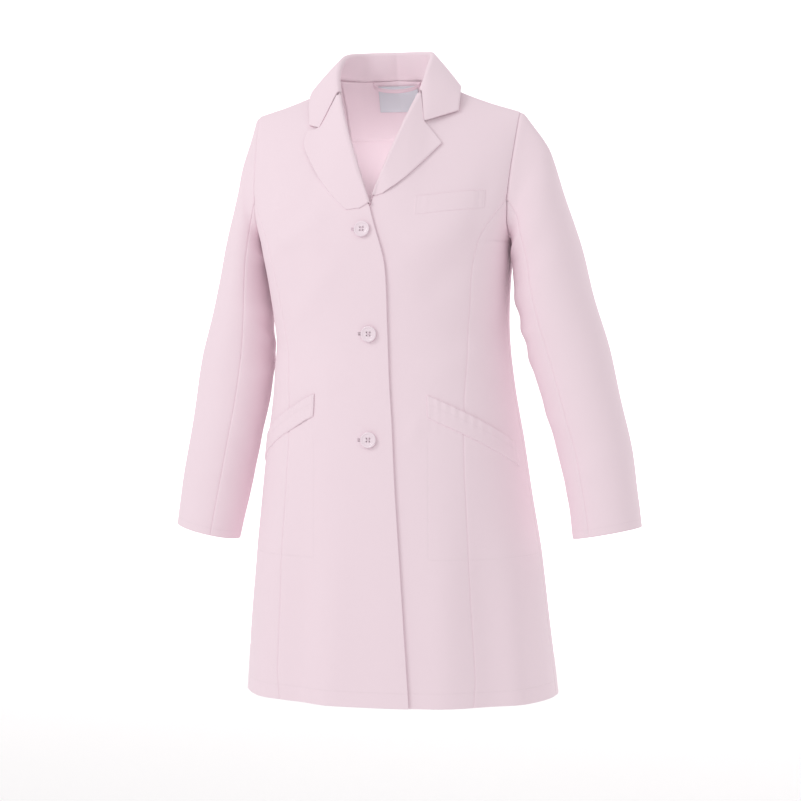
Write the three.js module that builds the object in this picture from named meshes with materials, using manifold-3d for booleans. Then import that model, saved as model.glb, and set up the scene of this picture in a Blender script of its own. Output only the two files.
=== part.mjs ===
// A woman's long laboratory coat, buttoned, hanging as if worn, in millimetres with +Z up.
// The origin is the point in the hanger loop that a hook holds, at the nape of the neck.
// The front faces -Y and the wearer's left is +X. Every cloth piece is one closed sheet, laid
// on one shared body surface, and "left" and "right" are the wearer's.
import * as THREE from 'three';
import { mergeVertices } from 'three/addons/utils/BufferGeometryUtils.js';
import Module from 'manifold-3d';

const { abs, sin, cos, asin, hypot, max, min, PI } = Math;

// ---- Driving dimensions -------------------------------------------------------------------
const BACK_LENGTH = 865; // nape to hem
const CLOTH = 1.0; // one layer
const LAYER_GAP = 0.9; // air between two layers
const SEAM_GAP = 0.4; // between two panels sewn edge to edge
const ARMPIT = -235; // height of the bottom of the armhole
const SHOULDER_X = 192; // half the width across the shoulder tips
const SHOULDER_Z = -53;
const ARMHOLE_LOW_X = 180; // half the width across the armhole bottoms
const NECK_X = 77; // half the width across the neck points
const MIDDLE_Y = -55; // plane of the shoulder seams and side seams
const OVERLAP = 52; // how far the right front reaches over the left
const FACING_WIDTH = 62;
const STAND = 38; // collar height at the centre back
const COLLAR_FOLD_R = 2.6;
const BUTTON_R = 11;
const BUTTON_THICK = 3;
const BUTTON_HOLE_R = 1.2;
const BUTTON_HOLE_OFFSET = 2.6;
const THREAD_R = 0.7;
const SHANK_R = 1.1;
const BUTTONHOLE = { length: 24, width: 4 };
const BUTTON_GAP = 1.6; // thread shank left between cloth and button
const CHEST_WELT = { x: [70, 160], z: [-186, -176], height: 25 };
const CHEST_BAG = { x: [FACING_WIDTH + 17, 151], depth: 120 };
const HIP_WELT = { across: [82, 178], z: [-460, -531], height: 31 };
const HIP_BAG = { across: [74, 166], depth: 150 };
const MOUTH_SLOT = 3; // height of the slit behind each welt
const BAG_HOLLOW = 1.6; // space between the two layers of a pocket bag
const LABEL = { width: 60, height: 36, thick: 0.6, top: -7 };
const LOOP = { half: 35, sag: 11, reach: 13, tape: 5, thick: 1.0, roots: -3 };

// Body sections from hem to neck, each [height, value]
const HALF_WIDTH = [[-BACK_LENGTH, 221], [-675, 203], [-600, 193], [-517, 183], [-440, 171], [-370, 166],
  [-300, 170], [ARMPIT, 178.4], [-200, 188], [-150, 197], [-90, 200], [0, 201]];
const FRONT_DEPTH = [[-BACK_LENGTH, 166], [-560, 146], [-385, 129], [ARMPIT, 134], [-150, 128], [0, 120]];
const BACK_DEPTH = [[-BACK_LENGTH, 158], [-560, 130], [-385, 104], [ARMPIT, 113], [-150, 113], [0, 115]];
const SQUARENESS = [[-BACK_LENGTH, 2.1], [-560, 2.2], [-385, 2.3], [ARMPIT, 2.5], [0, 2.6]];
const SIDE_DRIFT = [[-BACK_LENGTH, 20], [-600, 14], [-385, 8], [ARMPIT, 0], [0, 0]];
const SHOULDER_LINE = [[0, 88], [30, 76], [50, 48], [65, 18], [NECK_X, -3], [90, -15], [110, -25],
  [150, -40], [SHOULDER_X, SHOULDER_Z], [SHOULDER_X + 20, SHOULDER_Z - 9]];
const SHOULDER_ROUNDING = 1.35;

// Seam and edge lines, each [height, distance from the middle]
const BREAK = { x: 9, z: -187 }; // where the lapels begin to turn back
const GORGE = { x: 58, z: -25 }; // where lapel and collar meet on the roll line
const RIGHT_EDGE = [[-BACK_LENGTH, 74], [-694, 60], [-586, 51], [-492, 44], [-424, 38], [-355, 35],
  [-274, 33], [-246, 28], [-212, 17], [BREAK.z, BREAK.x]];
const LEFT_EDGE_TOP = [[-246, -24], [-212, -6], [BREAK.z, BREAK.x]];
const FRONT_SEAM = [[-BACK_LENGTH, 142], [-690, 133], [-459, 125], [-315, 137], [ARMPIT, 152], [-171, 186]];
const BACK_SEAM = [[-BACK_LENGTH, 130], [-560, 108], [-385, 94], [-300, 104], [ARMPIT, 126], [-150, 188]];
const NOTCH = {
  left: { corner: [110, -53], inner: [68, -68], tip: [96, -99], edge: [[54, -147], [22, -172]], low: -172 },
  right: { corner: [101, -71], inner: [83, -75], tip: [102, -79], edge: [[101, -104], [60, -158], [18, -198]], low: -184 },
};
const BUTTONS = [{ x: 1, z: -219 }, { x: 10, z: -361 }, { x: 13, z: -506 }];

// Sleeve outlines in the plane of the shoulders: outer from the tip, inner from the armpit
const SLEEVE = {
  left: {
    outer: [[SHOULDER_X, SHOULDER_Z], [231, -106], [255, -176], [277, -245], [295, -314], [316, -384],
      [333, -453], [349, -521], [360, -590], [364, -626]],
    inner: [[ARMHOLE_LOW_X, ARMPIT], [181, -262], [186, -310], [199, -366], [226, -453], [243, -509],
      [259, -570], [270, -644]],
  },
  right: {
    outer: [[SHOULDER_X, SHOULDER_Z], [204, -92], [220, -165], [237, -243], [253, -315], [271, -388],
      [282, -459], [292, -531], [303, -604], [307, -636]],
    inner: [[ARMHOLE_LOW_X, ARMPIT], [178, -268], [174, -340], [171, -402], [177, -459], [192, -531],
      [207, -603], [218, -657]],
  },
};
const SLEEVE_LAG = [[0, 0], [0.15, 0.025], [0.3, 0.09], [0.45, 0.27], [0.6, 0.47], [1, 1]];
const SLEEVE_HALF_DEPTH = [[0, 46], [0.3, 56], [0.6, 53], [1, 44]];
const SLEEVE_FORWARD = [[0, 0], [0.4, 1], [1, 18]];
const SLEEVE_SEAMS = { front: 112, back: 250 }; // degrees round from the top of the sleeve
const SLEEVE_START = 1.3; // sleeve cloth begins this far outside the plane of the armhole

// ---- Curves and the body surface ----------------------------------------------------------
// A smooth curve through [position, value] pairs listed in rising order.
function through(pairs, at) {
  const last = pairs.length - 1;
  let i = 0;
  while (i < last - 1 && at > pairs[i + 1][0]) i += 1;
  const slope = (a, b) => (pairs[b][1] - pairs[a][1]) / (pairs[b][0] - pairs[a][0]);
  const width = pairs[i + 1][0] - pairs[i][0];
  const t = min(1, max(0, (at - pairs[i][0]) / width));
  const m0 = slope(max(0, i - 1), i + 1) * width;
  const m1 = slope(i, min(last, i + 2)) * width;
  const t2 = t * t;
  const t3 = t2 * t;
  return (2 * t3 - 3 * t2 + 1) * pairs[i][1] + (t3 - 2 * t2 + t) * m0
    + (3 * t2 - 2 * t3) * pairs[i + 1][1] + (t3 - t2) * m1;
}
const mix = (a, b, t) => a + (b - a) * t;
const ease = (t) => {
  const c = min(1, max(0, t));
  return c * c * (3 - 2 * c);
};

const drift = (z) => through(SIDE_DRIFT, z);
const shoulder = (x) => through(SHOULDER_LINE, abs(x));
const armholeX = (z) => mix(ARMHOLE_LOW_X, SHOULDER_X, (z - ARMPIT) / (SHOULDER_Z - ARMPIT));

// Depth of the body in front of (face -1) or behind (face 1) the middle plane, at a distance
// x from its own centre line; near the shoulder line it rounds over to nothing.
function depth(x, z, face) {
  const half = through(HALF_WIDTH, z);
  const n = through(SQUARENESS, z);
  const full = through(face < 0 ? FRONT_DEPTH : BACK_DEPTH, z);
  const across = max(0, 1 - (abs(x) / half) ** n) ** (1 / n);
  const top = shoulder(x);
  const below = min(1, max(0, (top - z) / (top - ARMPIT)));
  const rounding = (1 - (1 - below) ** SHOULDER_ROUNDING) ** (1 / SHOULDER_ROUNDING);
  return full * across * rounding;
}
// A point on the body from its distance across and its height.
const onFace = (x, z, face) => [x, MIDDLE_Y + face * depth(x, z, face), z];

// A point round the side, by angle: 0 is the centre front, 90 degrees the side seam.
function onSide(angle, z) {
  const n = through(SQUARENESS, z);
  const face = cos(angle) > 0 ? -1 : 1;
  const full = through(face < 0 ? FRONT_DEPTH : BACK_DEPTH, z);
  return [through(HALF_WIDTH, z) * sin(angle) ** (2 / n), MIDDLE_Y + face * full * abs(cos(angle)) ** (2 / n), z];
}
const angleAt = (x, z) => asin(min(1, x / through(HALF_WIDTH, z)) ** (through(SQUARENESS, z) / 2));
const heightAt = (x, part) => shoulder(x) - part * (shoulder(x) - ARMPIT);

const rollX = (side, z) => {
  const up = (z - BREAK.z) / (GORGE.z - BREAK.z);
  return up <= 1 ? mix(BREAK.x, side * GORGE.x, up)
    : side * mix(GORGE.x, NECK_X, ease((z - GORGE.z) / (shoulder(NECK_X) - GORGE.z) / 2) * 2);
};
const rightEdge = (z) => (z < BREAK.z ? through(RIGHT_EDGE, z) : rollX(-1, z));
function leftEdge(z) {
  if (z >= BREAK.z) return rollX(1, z);
  const low = LEFT_EDGE_TOP[0][0];
  return z < low ? through(RIGHT_EDGE, z) - OVERLAP : through(LEFT_EDGE_TOP, z);
}
// The right front is lifted over the left front and its facing.
const LIFT = 2 * (CLOTH + LAYER_GAP);
function liftOf(side, x, z) {
  if (side > 0) return 0;
  const across = ease((x + FRONT_SEAM[2][1] * 0.95) / 60);
  return LIFT * across * (1 - ease((z - BREAK.z) / 60));
}

// ---- Sheets -------------------------------------------------------------------------------
const wasm = await Module();
wasm.setup();

const sub = (a, b) => [a[0] - b[0], a[1] - b[1], a[2] - b[2]];
const cross = (a, b) => [a[1] * b[2] - a[2] * b[1], a[2] * b[0] - a[0] * b[2], a[0] * b[1] - a[1] * b[0]];
const unit = (v) => {
  const l = hypot(...v);
  return [v[0] / l, v[1] / l, v[2] / l];
};
const along = (p, n, d) => [p[0] + n[0] * d, p[1] + n[1] * d, p[2] + n[2] * d];

function geometryOf(points, faces) {
  const flat = faces.flatMap((f) => f.flatMap((k) => points[k]));
  const raw = new THREE.BufferGeometry();
  raw.setAttribute('position', new THREE.Float32BufferAttribute(flat, 3));
  return facingOut(withoutSlivers(mergeVertices(raw, 1e-3)));
}
function withoutSlivers(geometry) {
  const kept = [];
  const index = geometry.index.array;
  for (let i = 0; i < index.length; i += 3) {
    const [a, b, c] = [index[i], index[i + 1], index[i + 2]];
    if (a !== b && b !== c && a !== c) kept.push(a, b, c);
  }
  geometry.setIndex(kept);
  return geometry;
}
function facingOut(geometry) {
  const p = geometry.attributes.position.array;
  const index = geometry.index.array;
  const at = (k) => [p[3 * k], p[3 * k + 1], p[3 * k + 2]];
  let volume = 0;
  for (let i = 0; i < index.length; i += 3) {
    const n = cross(at(index[i + 1]), at(index[i + 2]));
    const a = at(index[i]);
    volume += a[0] * n[0] + a[1] * n[1] + a[2] * n[2];
  }
  if (volume < 0) {
    for (let i = 0; i < index.length; i += 3) [index[i + 1], index[i + 2]] = [index[i + 2], index[i + 1]];
  }
  return geometry;
}

// A closed sheet from a grid of { p, n, low, high }: cloth from low to high along each normal.
function sheet(grid) {
  const rows = grid.length;
  const cols = grid[0].length;
  const points = [];
  grid.forEach((row) => row.forEach((g) => points.push(along(g.p, g.n, g.high))));
  grid.forEach((row) => row.forEach((g) => points.push(along(g.p, g.n, g.low))));
  const top = (i, j) => i * cols + j;
  const under = (i, j) => rows * cols + i * cols + j;
  const faces = [];
  const quad = (a, b, c, d) => faces.push([a, b, c], [a, c, d]);
  const span = (a, b) => hypot(...sub(points[a], points[b]));
  for (let i = 0; i < rows - 1; i += 1) {
    for (let j = 0; j < cols - 1; j += 1) {
      // Both faces of the cloth split along the shorter diagonal, so layers lie parallel.
      const turned = span(top(i, j), top(i + 1, j + 1)) > span(top(i, j + 1), top(i + 1, j));
      const ring = (at) => {
        const q = [at(i, j), at(i, j + 1), at(i + 1, j + 1), at(i + 1, j)];
        return turned ? [q[1], q[2], q[3], q[0]] : q;
      };
      quad(...ring(top));
      const [a, b, c, d] = ring(under);
      faces.push([a, c, b], [a, d, c]);
    }
    quad(top(i, 0), top(i + 1, 0), under(i + 1, 0), under(i, 0));
    quad(top(i, cols - 1), under(i, cols - 1), under(i + 1, cols - 1), top(i + 1, cols - 1));
  }
  for (let j = 0; j < cols - 1; j += 1) {
    quad(top(0, j), under(0, j), under(0, j + 1), top(0, j + 1));
    quad(top(rows - 1, j), top(rows - 1, j + 1), under(rows - 1, j + 1), under(rows - 1, j));
  }
  return geometryOf(points, faces);
}

// Normals of a body point by small steps over its own surface.
function bodyPoint(side, x, z, face, low, high, lift = 0) {
  const step = 0.5;
  const safe = (v) => onFace(v, z, face);
  const a = sub(safe(x + step), safe(x - step));
  const b = sub(onFace(x, z + step * 0.2, face), onFace(x, z - step * 0.2, face));
  const n = unit(cross(a, b));
  const out = n[1] * face < 0 ? [-n[0], -n[1], -n[2]] : n;
  const p = onFace(x, z, face);
  return { p: [side * p[0] + drift(z), p[1], p[2]], n: [side * out[0], out[1], out[2]], low: low + lift, high: high + lift };
}
function sidePoint(side, angle, z, low, high) {
  const step = 0.004;
  const a = sub(onSide(min(angle + step, PI - 0.001), z), onSide(max(angle - step, 0.001), z));
  const b = sub(onSide(angle, z + 1), onSide(angle, z - 1));
  const n = unit(cross(a, b));
  const p = onSide(angle, z);
  return { p: [side * p[0] + drift(z), p[1], p[2]], n: [side * n[0], n[1], n[2]], low, high };
}

const LEVELS = [-BACK_LENGTH, -770, -680, -590, -510, -440, -370, -300, ARMPIT];
const TOP_PART = 0.0012; // the last row lies this share below the shoulder line
const partAt = (x, z) => (shoulder(x) - z) / (shoulder(x) - ARMPIT);
const FRONT_PARTS = [partAt(BREAK.x, BREAK.z), partAt(armholeX(-171), -171), 0.45, 0.27, 0.13, 0.045, TOP_PART];
const BACK_PARTS = [0.8, partAt(armholeX(-150), -150), 0.36, 0.22, 0.1, 0.035, TOP_PART];

// The distance across where a line x(z) crosses the row that lies a given part of the way down.
function crossing(line, part) {
  let x = 100;
  for (let i = 0; i < 60; i += 1) x = mix(x, line(heightAt(x, part)), 0.5);
  return x;
}
const sharing = (n) => Array.from({ length: n + 1 }, (_, k) => k / n);

// Where the long seam, or the armhole above its end, crosses a height.
function seamLimit(seam, z) {
  const armhole = armholeX(z) - CLOTH;
  const peak = seam[seam.length - 1][0];
  return z < peak ? min(through(seam, z), armhole) : armhole;
}
// Columns across a centre panel: fixed steps for the inner cloth beside it, then even shares.
const across = (from, to, inner, rest) => [
  ...inner.map((d) => from + d),
  ...sharing(rest).slice(1).map((f) => mix(from + inner[inner.length - 1], to, f)),
];

// Centre panels run across the flat of the body, from an edge line to the long seam or armhole.
function centrePanel(side, face, edge, seam, parts, inner, topOf) {
  const low = 0;
  const high = CLOTH;
  const limit = (z) => seamLimit(seam, z) - SEAM_GAP / 2;
  const grid = [];
  LEVELS.forEach((z) => {
    const from = side * (edge(z) - drift(z));
    grid.push(across(from, limit(z), inner, 3).map((x) =>
      bodyPoint(side, x, z, face, low, high, face < 0 ? liftOf(side, side * x, z) : 0)));
  });
  parts.forEach((part) => {
    const from = crossing((z) => side * edge(z), part);
    const to = crossing(limit, part);
    grid.push(across(from, to, inner, 3).map((x) => {
      const z = topOf ? topOf(x, part) : heightAt(x, part);
      return bodyPoint(side, x, z, face, low, high, face < 0 ? liftOf(side, side * x, z) : 0);
    }));
  });
  return sheet(grid);
}
// Side panels run from the long seam round to the side seam, and end in a point on the armhole.
function sidePanel(side, face, seam, parts, columns) {
  const grid = [];
  const sideGap = (z) => (SEAM_GAP / 2 / through(FRONT_DEPTH, z)) ** (through(SQUARENESS, z) / 2);
  const at = (z) => seamLimit(seam, z) + SEAM_GAP / 2;
  LEVELS.forEach((z) => {
    const from = face < 0 ? angleAt(at(z), z) : PI - angleAt(at(z), z);
    const to = face < 0 ? PI / 2 - sideGap(z) : PI / 2 + sideGap(z);
    grid.push(sharing(columns).map((f) => sidePoint(side, mix(from, to, f), z, 0, CLOTH)));
  });
  const peak = seam[seam.length - 1][0];
  parts.filter((part) => heightAt(SHOULDER_X, part) < peak + 2).forEach((part) => {
    const from = crossing(at, part);
    const to = max(from + SEAM_GAP, crossing((z) => armholeX(z) - CLOTH, part));
    grid.push(sharing(columns).map((f) => {
      const x = mix(from, to, f);
      return bodyPoint(side, x, heightAt(x, part), face, 0, CLOTH);
    }));
  });
  return sheet(grid);
}
const BACK_FACING_STEPS = [0, 1, 2, 3, 4].map((k) => k * 0.24 * NECK_X);
const neckline = (x) => mix(0, shoulder(NECK_X), ease(abs(x) / NECK_X));
const backTop = (x, part) => {
  const top = abs(x) < NECK_X ? partAt(x, neckline(x)) : TOP_PART;
  return heightAt(x, top + (1 - top) * (part - TOP_PART) / (1 - TOP_PART));
};

// ---- Facings and lapels -------------------------------------------------------------------
const FACING_STEPS = [0, FACING_WIDTH / 2, FACING_WIDTH];
const FACING_LOW = -(LAYER_GAP + CLOTH);
const FACING_HIGH = -LAYER_GAP;
const LAPEL_OFFSET = CLOTH + LAYER_GAP + 0.8 + CLOTH / 2;

function facingStrip(side, edge) {
  const grid = [];
  const place = (x, z) => bodyPoint(side, x, z, -1, FACING_LOW, FACING_HIGH, liftOf(side, side * x, z));
  LEVELS.forEach((z) => grid.push(FACING_STEPS.map((d) => place(side * (edge(z) - drift(z)) + d, z))));
  FRONT_PARTS.slice(0, 5).forEach((part) => {
    const from = crossing((z) => side * edge(z), part);
    grid.push(FACING_STEPS.map((d) => place(from + d, heightAt(from + d, part))));
  });
  return sheet(grid);
}

// The turned-back lapel: rows climb the roll line, columns go round the fold and out to the edge.
function lapel(side, notch, room = 0) {
  const top = GORGE.z - 3;
  const edgeLine = [...notch.edge].reverse().concat([notch.tip]);
  const grid = sharing(7).map((t) => {
    const z0 = mix(notch.low, top, t);
    const x0 = side * rollX(side, z0);
    const reach = t * (edgeLine.length - 1);
    const k = min(edgeLine.length - 2, Math.floor(reach));
    const outer = [0, 1].map((c) => mix(edgeLine[k][c], edgeLine[k + 1][c], reach - k));
    const bend = ease((t - 0.5) / 0.5);
    const share = 0.4;
    const inner = [0, 1].map((c) => {
      const straight = mix(c ? z0 : x0, outer[c], share);
      return mix(straight, notch.inner[c] - (c ? 1.2 : 0), bend * ease(t * t));
    });
    return rowOfLapel(side, x0, z0, inner, outer);
  });
  grid.forEach((row) => row.forEach((g) => {
    g.low -= room;
    g.high += room;
  }));
  return sheet(grid);
}
function rowOfLapel(side, x0, z0, inner, outer) {
  const under = (FACING_LOW + FACING_HIGH) / 2;
  const radius = (LAPEL_OFFSET - under) / 2;
  const lift = liftOf(side, side * x0, z0);
  const base = bodyPoint(side, x0, z0, -1, 0, 0);
  const out = base.n;
  const inward = [-side, 0, 0];
  const t = CLOTH / 2;
  const row = [];
  const place = (d, shift, n) => ({ p: along(along(base.p, out, d + lift), inward, shift), n, low: -t, high: t });
  row.push(place(under, -6, out.map((v) => -v)));
  row.push(place(under, -0.8, out.map((v) => -v)));
  [-60, -20, 20, 60].forEach((deg) => {
    const a = deg * PI / 180;
    const n = unit([0, 1, 2].map((c) => out[c] * sin(a) + inward[c] * cos(a)));
    row.push(place((under + LAPEL_OFFSET) / 2 + radius * sin(a), radius * cos(a) - 0.8, n));
  });
  const flap = (x, z) => {
    const g = bodyPoint(side, x, z, -1, LAPEL_OFFSET - t, LAPEL_OFFSET + t, lift);
    return g;
  };
  row.push(flap(x0 + 1.5, z0));
  row.push(flap(mix(x0, inner[0], 0.5), mix(z0, inner[1], 0.5)));
  row.push(flap(inner[0], inner[1]));
  row.push(flap(mix(inner[0], outer[0], 0.5), mix(inner[1], outer[1], 0.5)));
  row.push(flap(outer[0], outer[1]));
  return row;
}

// ---- Collar -------------------------------------------------------------------------------
// Three lines run from the front end (0) to the centre back (1): the neck seam, fold and edge.
function collarLines(side, s, notch) {
  const front = (x, z, off) => {
    const g = bodyPoint(1, x, z, -1, 0, 0);
    return along(g.p, g.n, off);
  };
  const lie = LAPEL_OFFSET;
  const gorge = front(GORGE.x + 1, GORGE.z + 1.5, 1.5);
  const corner = front(notch.corner[0], notch.corner[1], lie);
  const back = (x) => [x, MIDDLE_Y + depth(x, neckline(x), 1) + CLOTH / 2, neckline(x) + 1];
  const fold = [gorge, [66, -84, 8], [64, -52, 31], [42, -18, STAND - 1], [0, -8, STAND]];
  const edge = [corner, [109, -74, -27], [101, -50, -13], [64, -2, -12], [0, 10, -11]];
  const neck = [along(gorge, [0, 0.3, -1], 4), [72, -74, -7], [NECK_X, MIDDLE_Y, 0], back(53), back(0)];
  const line = (pts) => [0, 1, 2].map((c) => through(pts.map((q, k) => [k / 4, q[c]]), s));
  return { neck: line(neck), fold: line(fold), edge: line(edge), inner: front(notch.inner[0], notch.inner[1], lie) };
}
// One row of the collar's hairpin section, offset outward from its middle line.
function collarRow(side, s, notch, low, high) {
  const { neck, fold, edge, inner } = collarLines(side, s, notch);
  const outward = unit([fold[0] * 0.9, fold[1] - MIDDLE_Y - 15, 0]);
  const up = unit([0, 0, 1]);
  const r = COLLAR_FOLD_R;
  const height = min(r, fold[2] - neck[2] - 1);
  const centre = along(fold, up, -height);
  const path = [];
  const stand = along(centre, outward, -r);
  sharing(2).slice(0, 2).forEach((f) => path.push([0, 1, 2].map((c) => mix(neck[c], stand[c], f))));
  [-90, -30, 30, 90].forEach((deg) => {
    const a = deg * PI / 180;
    path.push(along(along(centre, up, height * cos(a)), outward, r * sin(a)));
  });
  const last = path[path.length - 1];
  const bend = 1 - ease(s / 0.3);
  [0.35, 0.7, 1].forEach((f) => {
    const straight = [0, 1, 2].map((c) => mix(last[c], edge[c], f));
    const viaInner = f <= 0.35 ? [0, 1, 2].map((c) => mix(last[c], inner[c], f / 0.35))
      : [0, 1, 2].map((c) => mix(inner[c], edge[c], (f - 0.35) / 0.65));
    path.push([0, 1, 2].map((c) => mix(straight[c], viaInner[c], bend)));
  });
  return path.map((p) => ({ p, low, high }));
}
function collar(low, high, reach = 0) {
  const steps = sharing(7);
  const left = steps.map((s) => collarRow(1, s, NOTCH.left, low, high));
  const right = steps.map((s) => collarRow(-1, s, NOTCH.right, low, high).map((g) => ({ ...g, p: [-g.p[0], g.p[1], g.p[2]] })));
  const grid = [...left, ...right.slice(0, -1).reverse()];
  if (reach) {
    const past = (row, next) => row.map((g, j) => ({ ...g, p: along(g.p, unit(sub(g.p, next[j].p)), reach) }));
    grid.unshift(past(grid[0], grid[1]));
    grid.push(past(grid[grid.length - 1], grid[grid.length - 2]));
  }
  withNormals(grid);
  return sheet(grid);
}
function withNormals(grid) {
  const at = (i, j) => grid[max(0, min(grid.length - 1, i))][max(0, min(grid[0].length - 1, j))].p;
  grid.forEach((row, i) => row.forEach((g, j) => {
    g.n = unit(cross(sub(at(i + 1, j), at(i - 1, j)), sub(at(i, j + 1), at(i, j - 1))));
  }));
  const top = grid[Math.floor(grid.length / 2)][3];
  if (top.n[2] < 0) grid.forEach((row) => row.forEach((g) => { g.n = g.n.map((v) => -v); }));
}

// ---- Sleeves ------------------------------------------------------------------------------
function lengthAlong(points, share) {
  const spans = points.slice(1).map((q, k) => hypot(q[0] - points[k][0], q[1] - points[k][1]));
  let left = share * spans.reduce((a, b) => a + b, 0);
  let k = 0;
  while (k < spans.length - 1 && left > spans[k]) {
    left -= spans[k];
    k += 1;
  }
  return [0, 1].map((c) => mix(points[k][c], points[k + 1][c], left / spans[k]));
}
function sleevePoint(shape, s, angle) {
  const start = SLEEVE_START;
  const outer = lengthAlong(shape.outer, s);
  const inner = lengthAlong(shape.inner, through(SLEEVE_LAG, s));
  const k = (1 + cos(angle)) / 2;
  const x = mix(inner[0], outer[0], k) + start;
  const z = mix(inner[1], outer[1], k);
  const round = through(SLEEVE_HALF_DEPTH, s) * sin(angle) + through(SLEEVE_FORWARD, s);
  const holeZ = mix(ARMPIT, SHOULDER_Z, k);
  const hole = sin(angle) > 0 ? depth(armholeX(holeZ), holeZ, -1) : -depth(armholeX(holeZ), holeZ, 1);
  return [x, MIDDLE_Y - mix(hole, round, ease(s / 0.28)), z];
}
function sleevePanel(side, shape, from, to, columns) {
  const rings = [0, 0.06, 0.13, 0.21, 0.3, 0.41, 0.53, 0.65, 0.77, 0.89, 1];
  const gap = 0.5 * SEAM_GAP / 50;
  const grid = rings.map((s) => sharing(columns).map((f) => {
    const angle = mix(from * PI / 180 + gap, to * PI / 180 - gap, f);
    const a = sub(sleevePoint(shape, min(1, s + 0.01), angle), sleevePoint(shape, max(0, s - 0.01), angle));
    const b = sub(sleevePoint(shape, s, angle + 0.03), sleevePoint(shape, s, angle - 0.03));
    const n = unit(cross(b, a));
    const p = sleevePoint(shape, s, angle);
    return { p: [side * p[0], p[1], p[2]], n: [side * n[0], n[1], n[2]], low: 0, high: CLOTH };
  }));
  return sheet(flipInward(grid));
}
// Normals point away from the middle of each ring.
function flipInward(grid) {
  const row = grid[5];
  const g = row[Math.floor(row.length / 2)];
  const centre = [0, 1, 2].map((c) => grid[5].reduce((a, q) => a + q.p[c], 0) / row.length);
  const away = sub(g.p, centre);
  const dot = away[0] * g.n[0] + away[1] * g.n[1] + away[2] * g.n[2];
  if (dot < 0) grid.forEach((line) => line.forEach((q) => { q.n = q.n.map((v) => -v); }));
  return grid;
}

// ---- Pockets ------------------------------------------------------------------------------
// A patch of the left or right front by two across lines and heights; low/high as for a sheet.
function chestPatch(xs, zOf, height, low, high, columns, rows) {
  const grid = sharing(rows).map((r) => sharing(columns).map((f) => {
    const x = mix(xs[0], xs[1], f);
    return bodyPoint(1, x, zOf(f) + height[0] + (height[1] - height[0]) * r, -1, low, high);
  }));
  return sheet(grid);
}
// The same round the hip, across by angle share between the centre front and the side seam.
function hipPatch(side, spread, zOf, height, low, high, columns, rows) {
  const angleOf = (across) => angleAt(min(across, 178), -500) + max(0, across - 178) / 200;
  const grid = sharing(rows).map((r) => sharing(columns).map((f) => {
    const z = zOf(f) + height[0] + (height[1] - height[0]) * r;
    const g = sidePoint(side, mix(angleOf(spread[0]), angleOf(spread[1]), f), z, low, high);
    const lift = liftOf(side, g.p[0], z);
    return { ...g, low: low + lift, high: high + lift };
  }));
  return sheet(grid);
}
const solid = (geometry) => {
  const clean = geometry.clone();
  clean.deleteAttribute('normal');
  clean.deleteAttribute('uv');
  const merged = mergeVertices(clean, 1e-4);
  return new wasm.Manifold(new wasm.Mesh({
    numProp: 3,
    vertProperties: new Float32Array(merged.attributes.position.array),
    triVerts: new Uint32Array(merged.index.array),
  }));
};
function fromSolid(made) {
  const mesh = made.getMesh();
  const geometry = new THREE.BufferGeometry();
  geometry.setAttribute('position', new THREE.BufferAttribute(new Float32Array(mesh.vertProperties), 3));
  geometry.setIndex(Array.from(mesh.triVerts));
  return geometry;
}
// The largest piece of a solid, without the scraps that a cut leaves.
const largest = (made) => made.decompose().reduce((a, b) => (b.volume() > a.volume() ? b : a));
const join = (a, ...rest) => fromSolid(rest.reduce((m, g) => m.add(solid(g)), solid(a)));
const cut = (a, ...rest) => fromSolid(largest(rest.reduce((m, g) => m.subtract(solid(g)), solid(a))));

const chestLine = (f) => mix(CHEST_WELT.z[0], CHEST_WELT.z[1], f);
const hipLine = (f) => mix(HIP_WELT.z[0], HIP_WELT.z[1], f);
const ON_TOP = CLOTH + LAYER_GAP;
const BAG_HIGH = -2.3;
const BAG_LOW = BAG_HIGH - 2 * CLOTH - BAG_HOLLOW;

function chestMouth() {
  const top = CHEST_WELT.height / 2 - MOUTH_SLOT;
  return chestPatch([CHEST_WELT.x[0] + 5, CHEST_WELT.x[1] - 5], chestLine, [top - MOUTH_SLOT, top], -3, 5, 4, 1);
}
function hipMouth(side) {
  const top = HIP_WELT.height / 2 - MOUTH_SLOT;
  return hipPatch(side, [HIP_WELT.across[0] + 5, HIP_WELT.across[1] - 5], hipLine, [top - MOUTH_SLOT, top], -4, 6, 5, 1);
}
function pouch(patch, spread, depthOf, slim) {
  const bag = patch(spread, [-depthOf, 0], BAG_LOW, BAG_HIGH);
  const inside = patch(slim, [-depthOf + 6, 4], BAG_LOW + CLOTH, BAG_HIGH - CLOTH);
  return cut(bag, inside);
}

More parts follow.
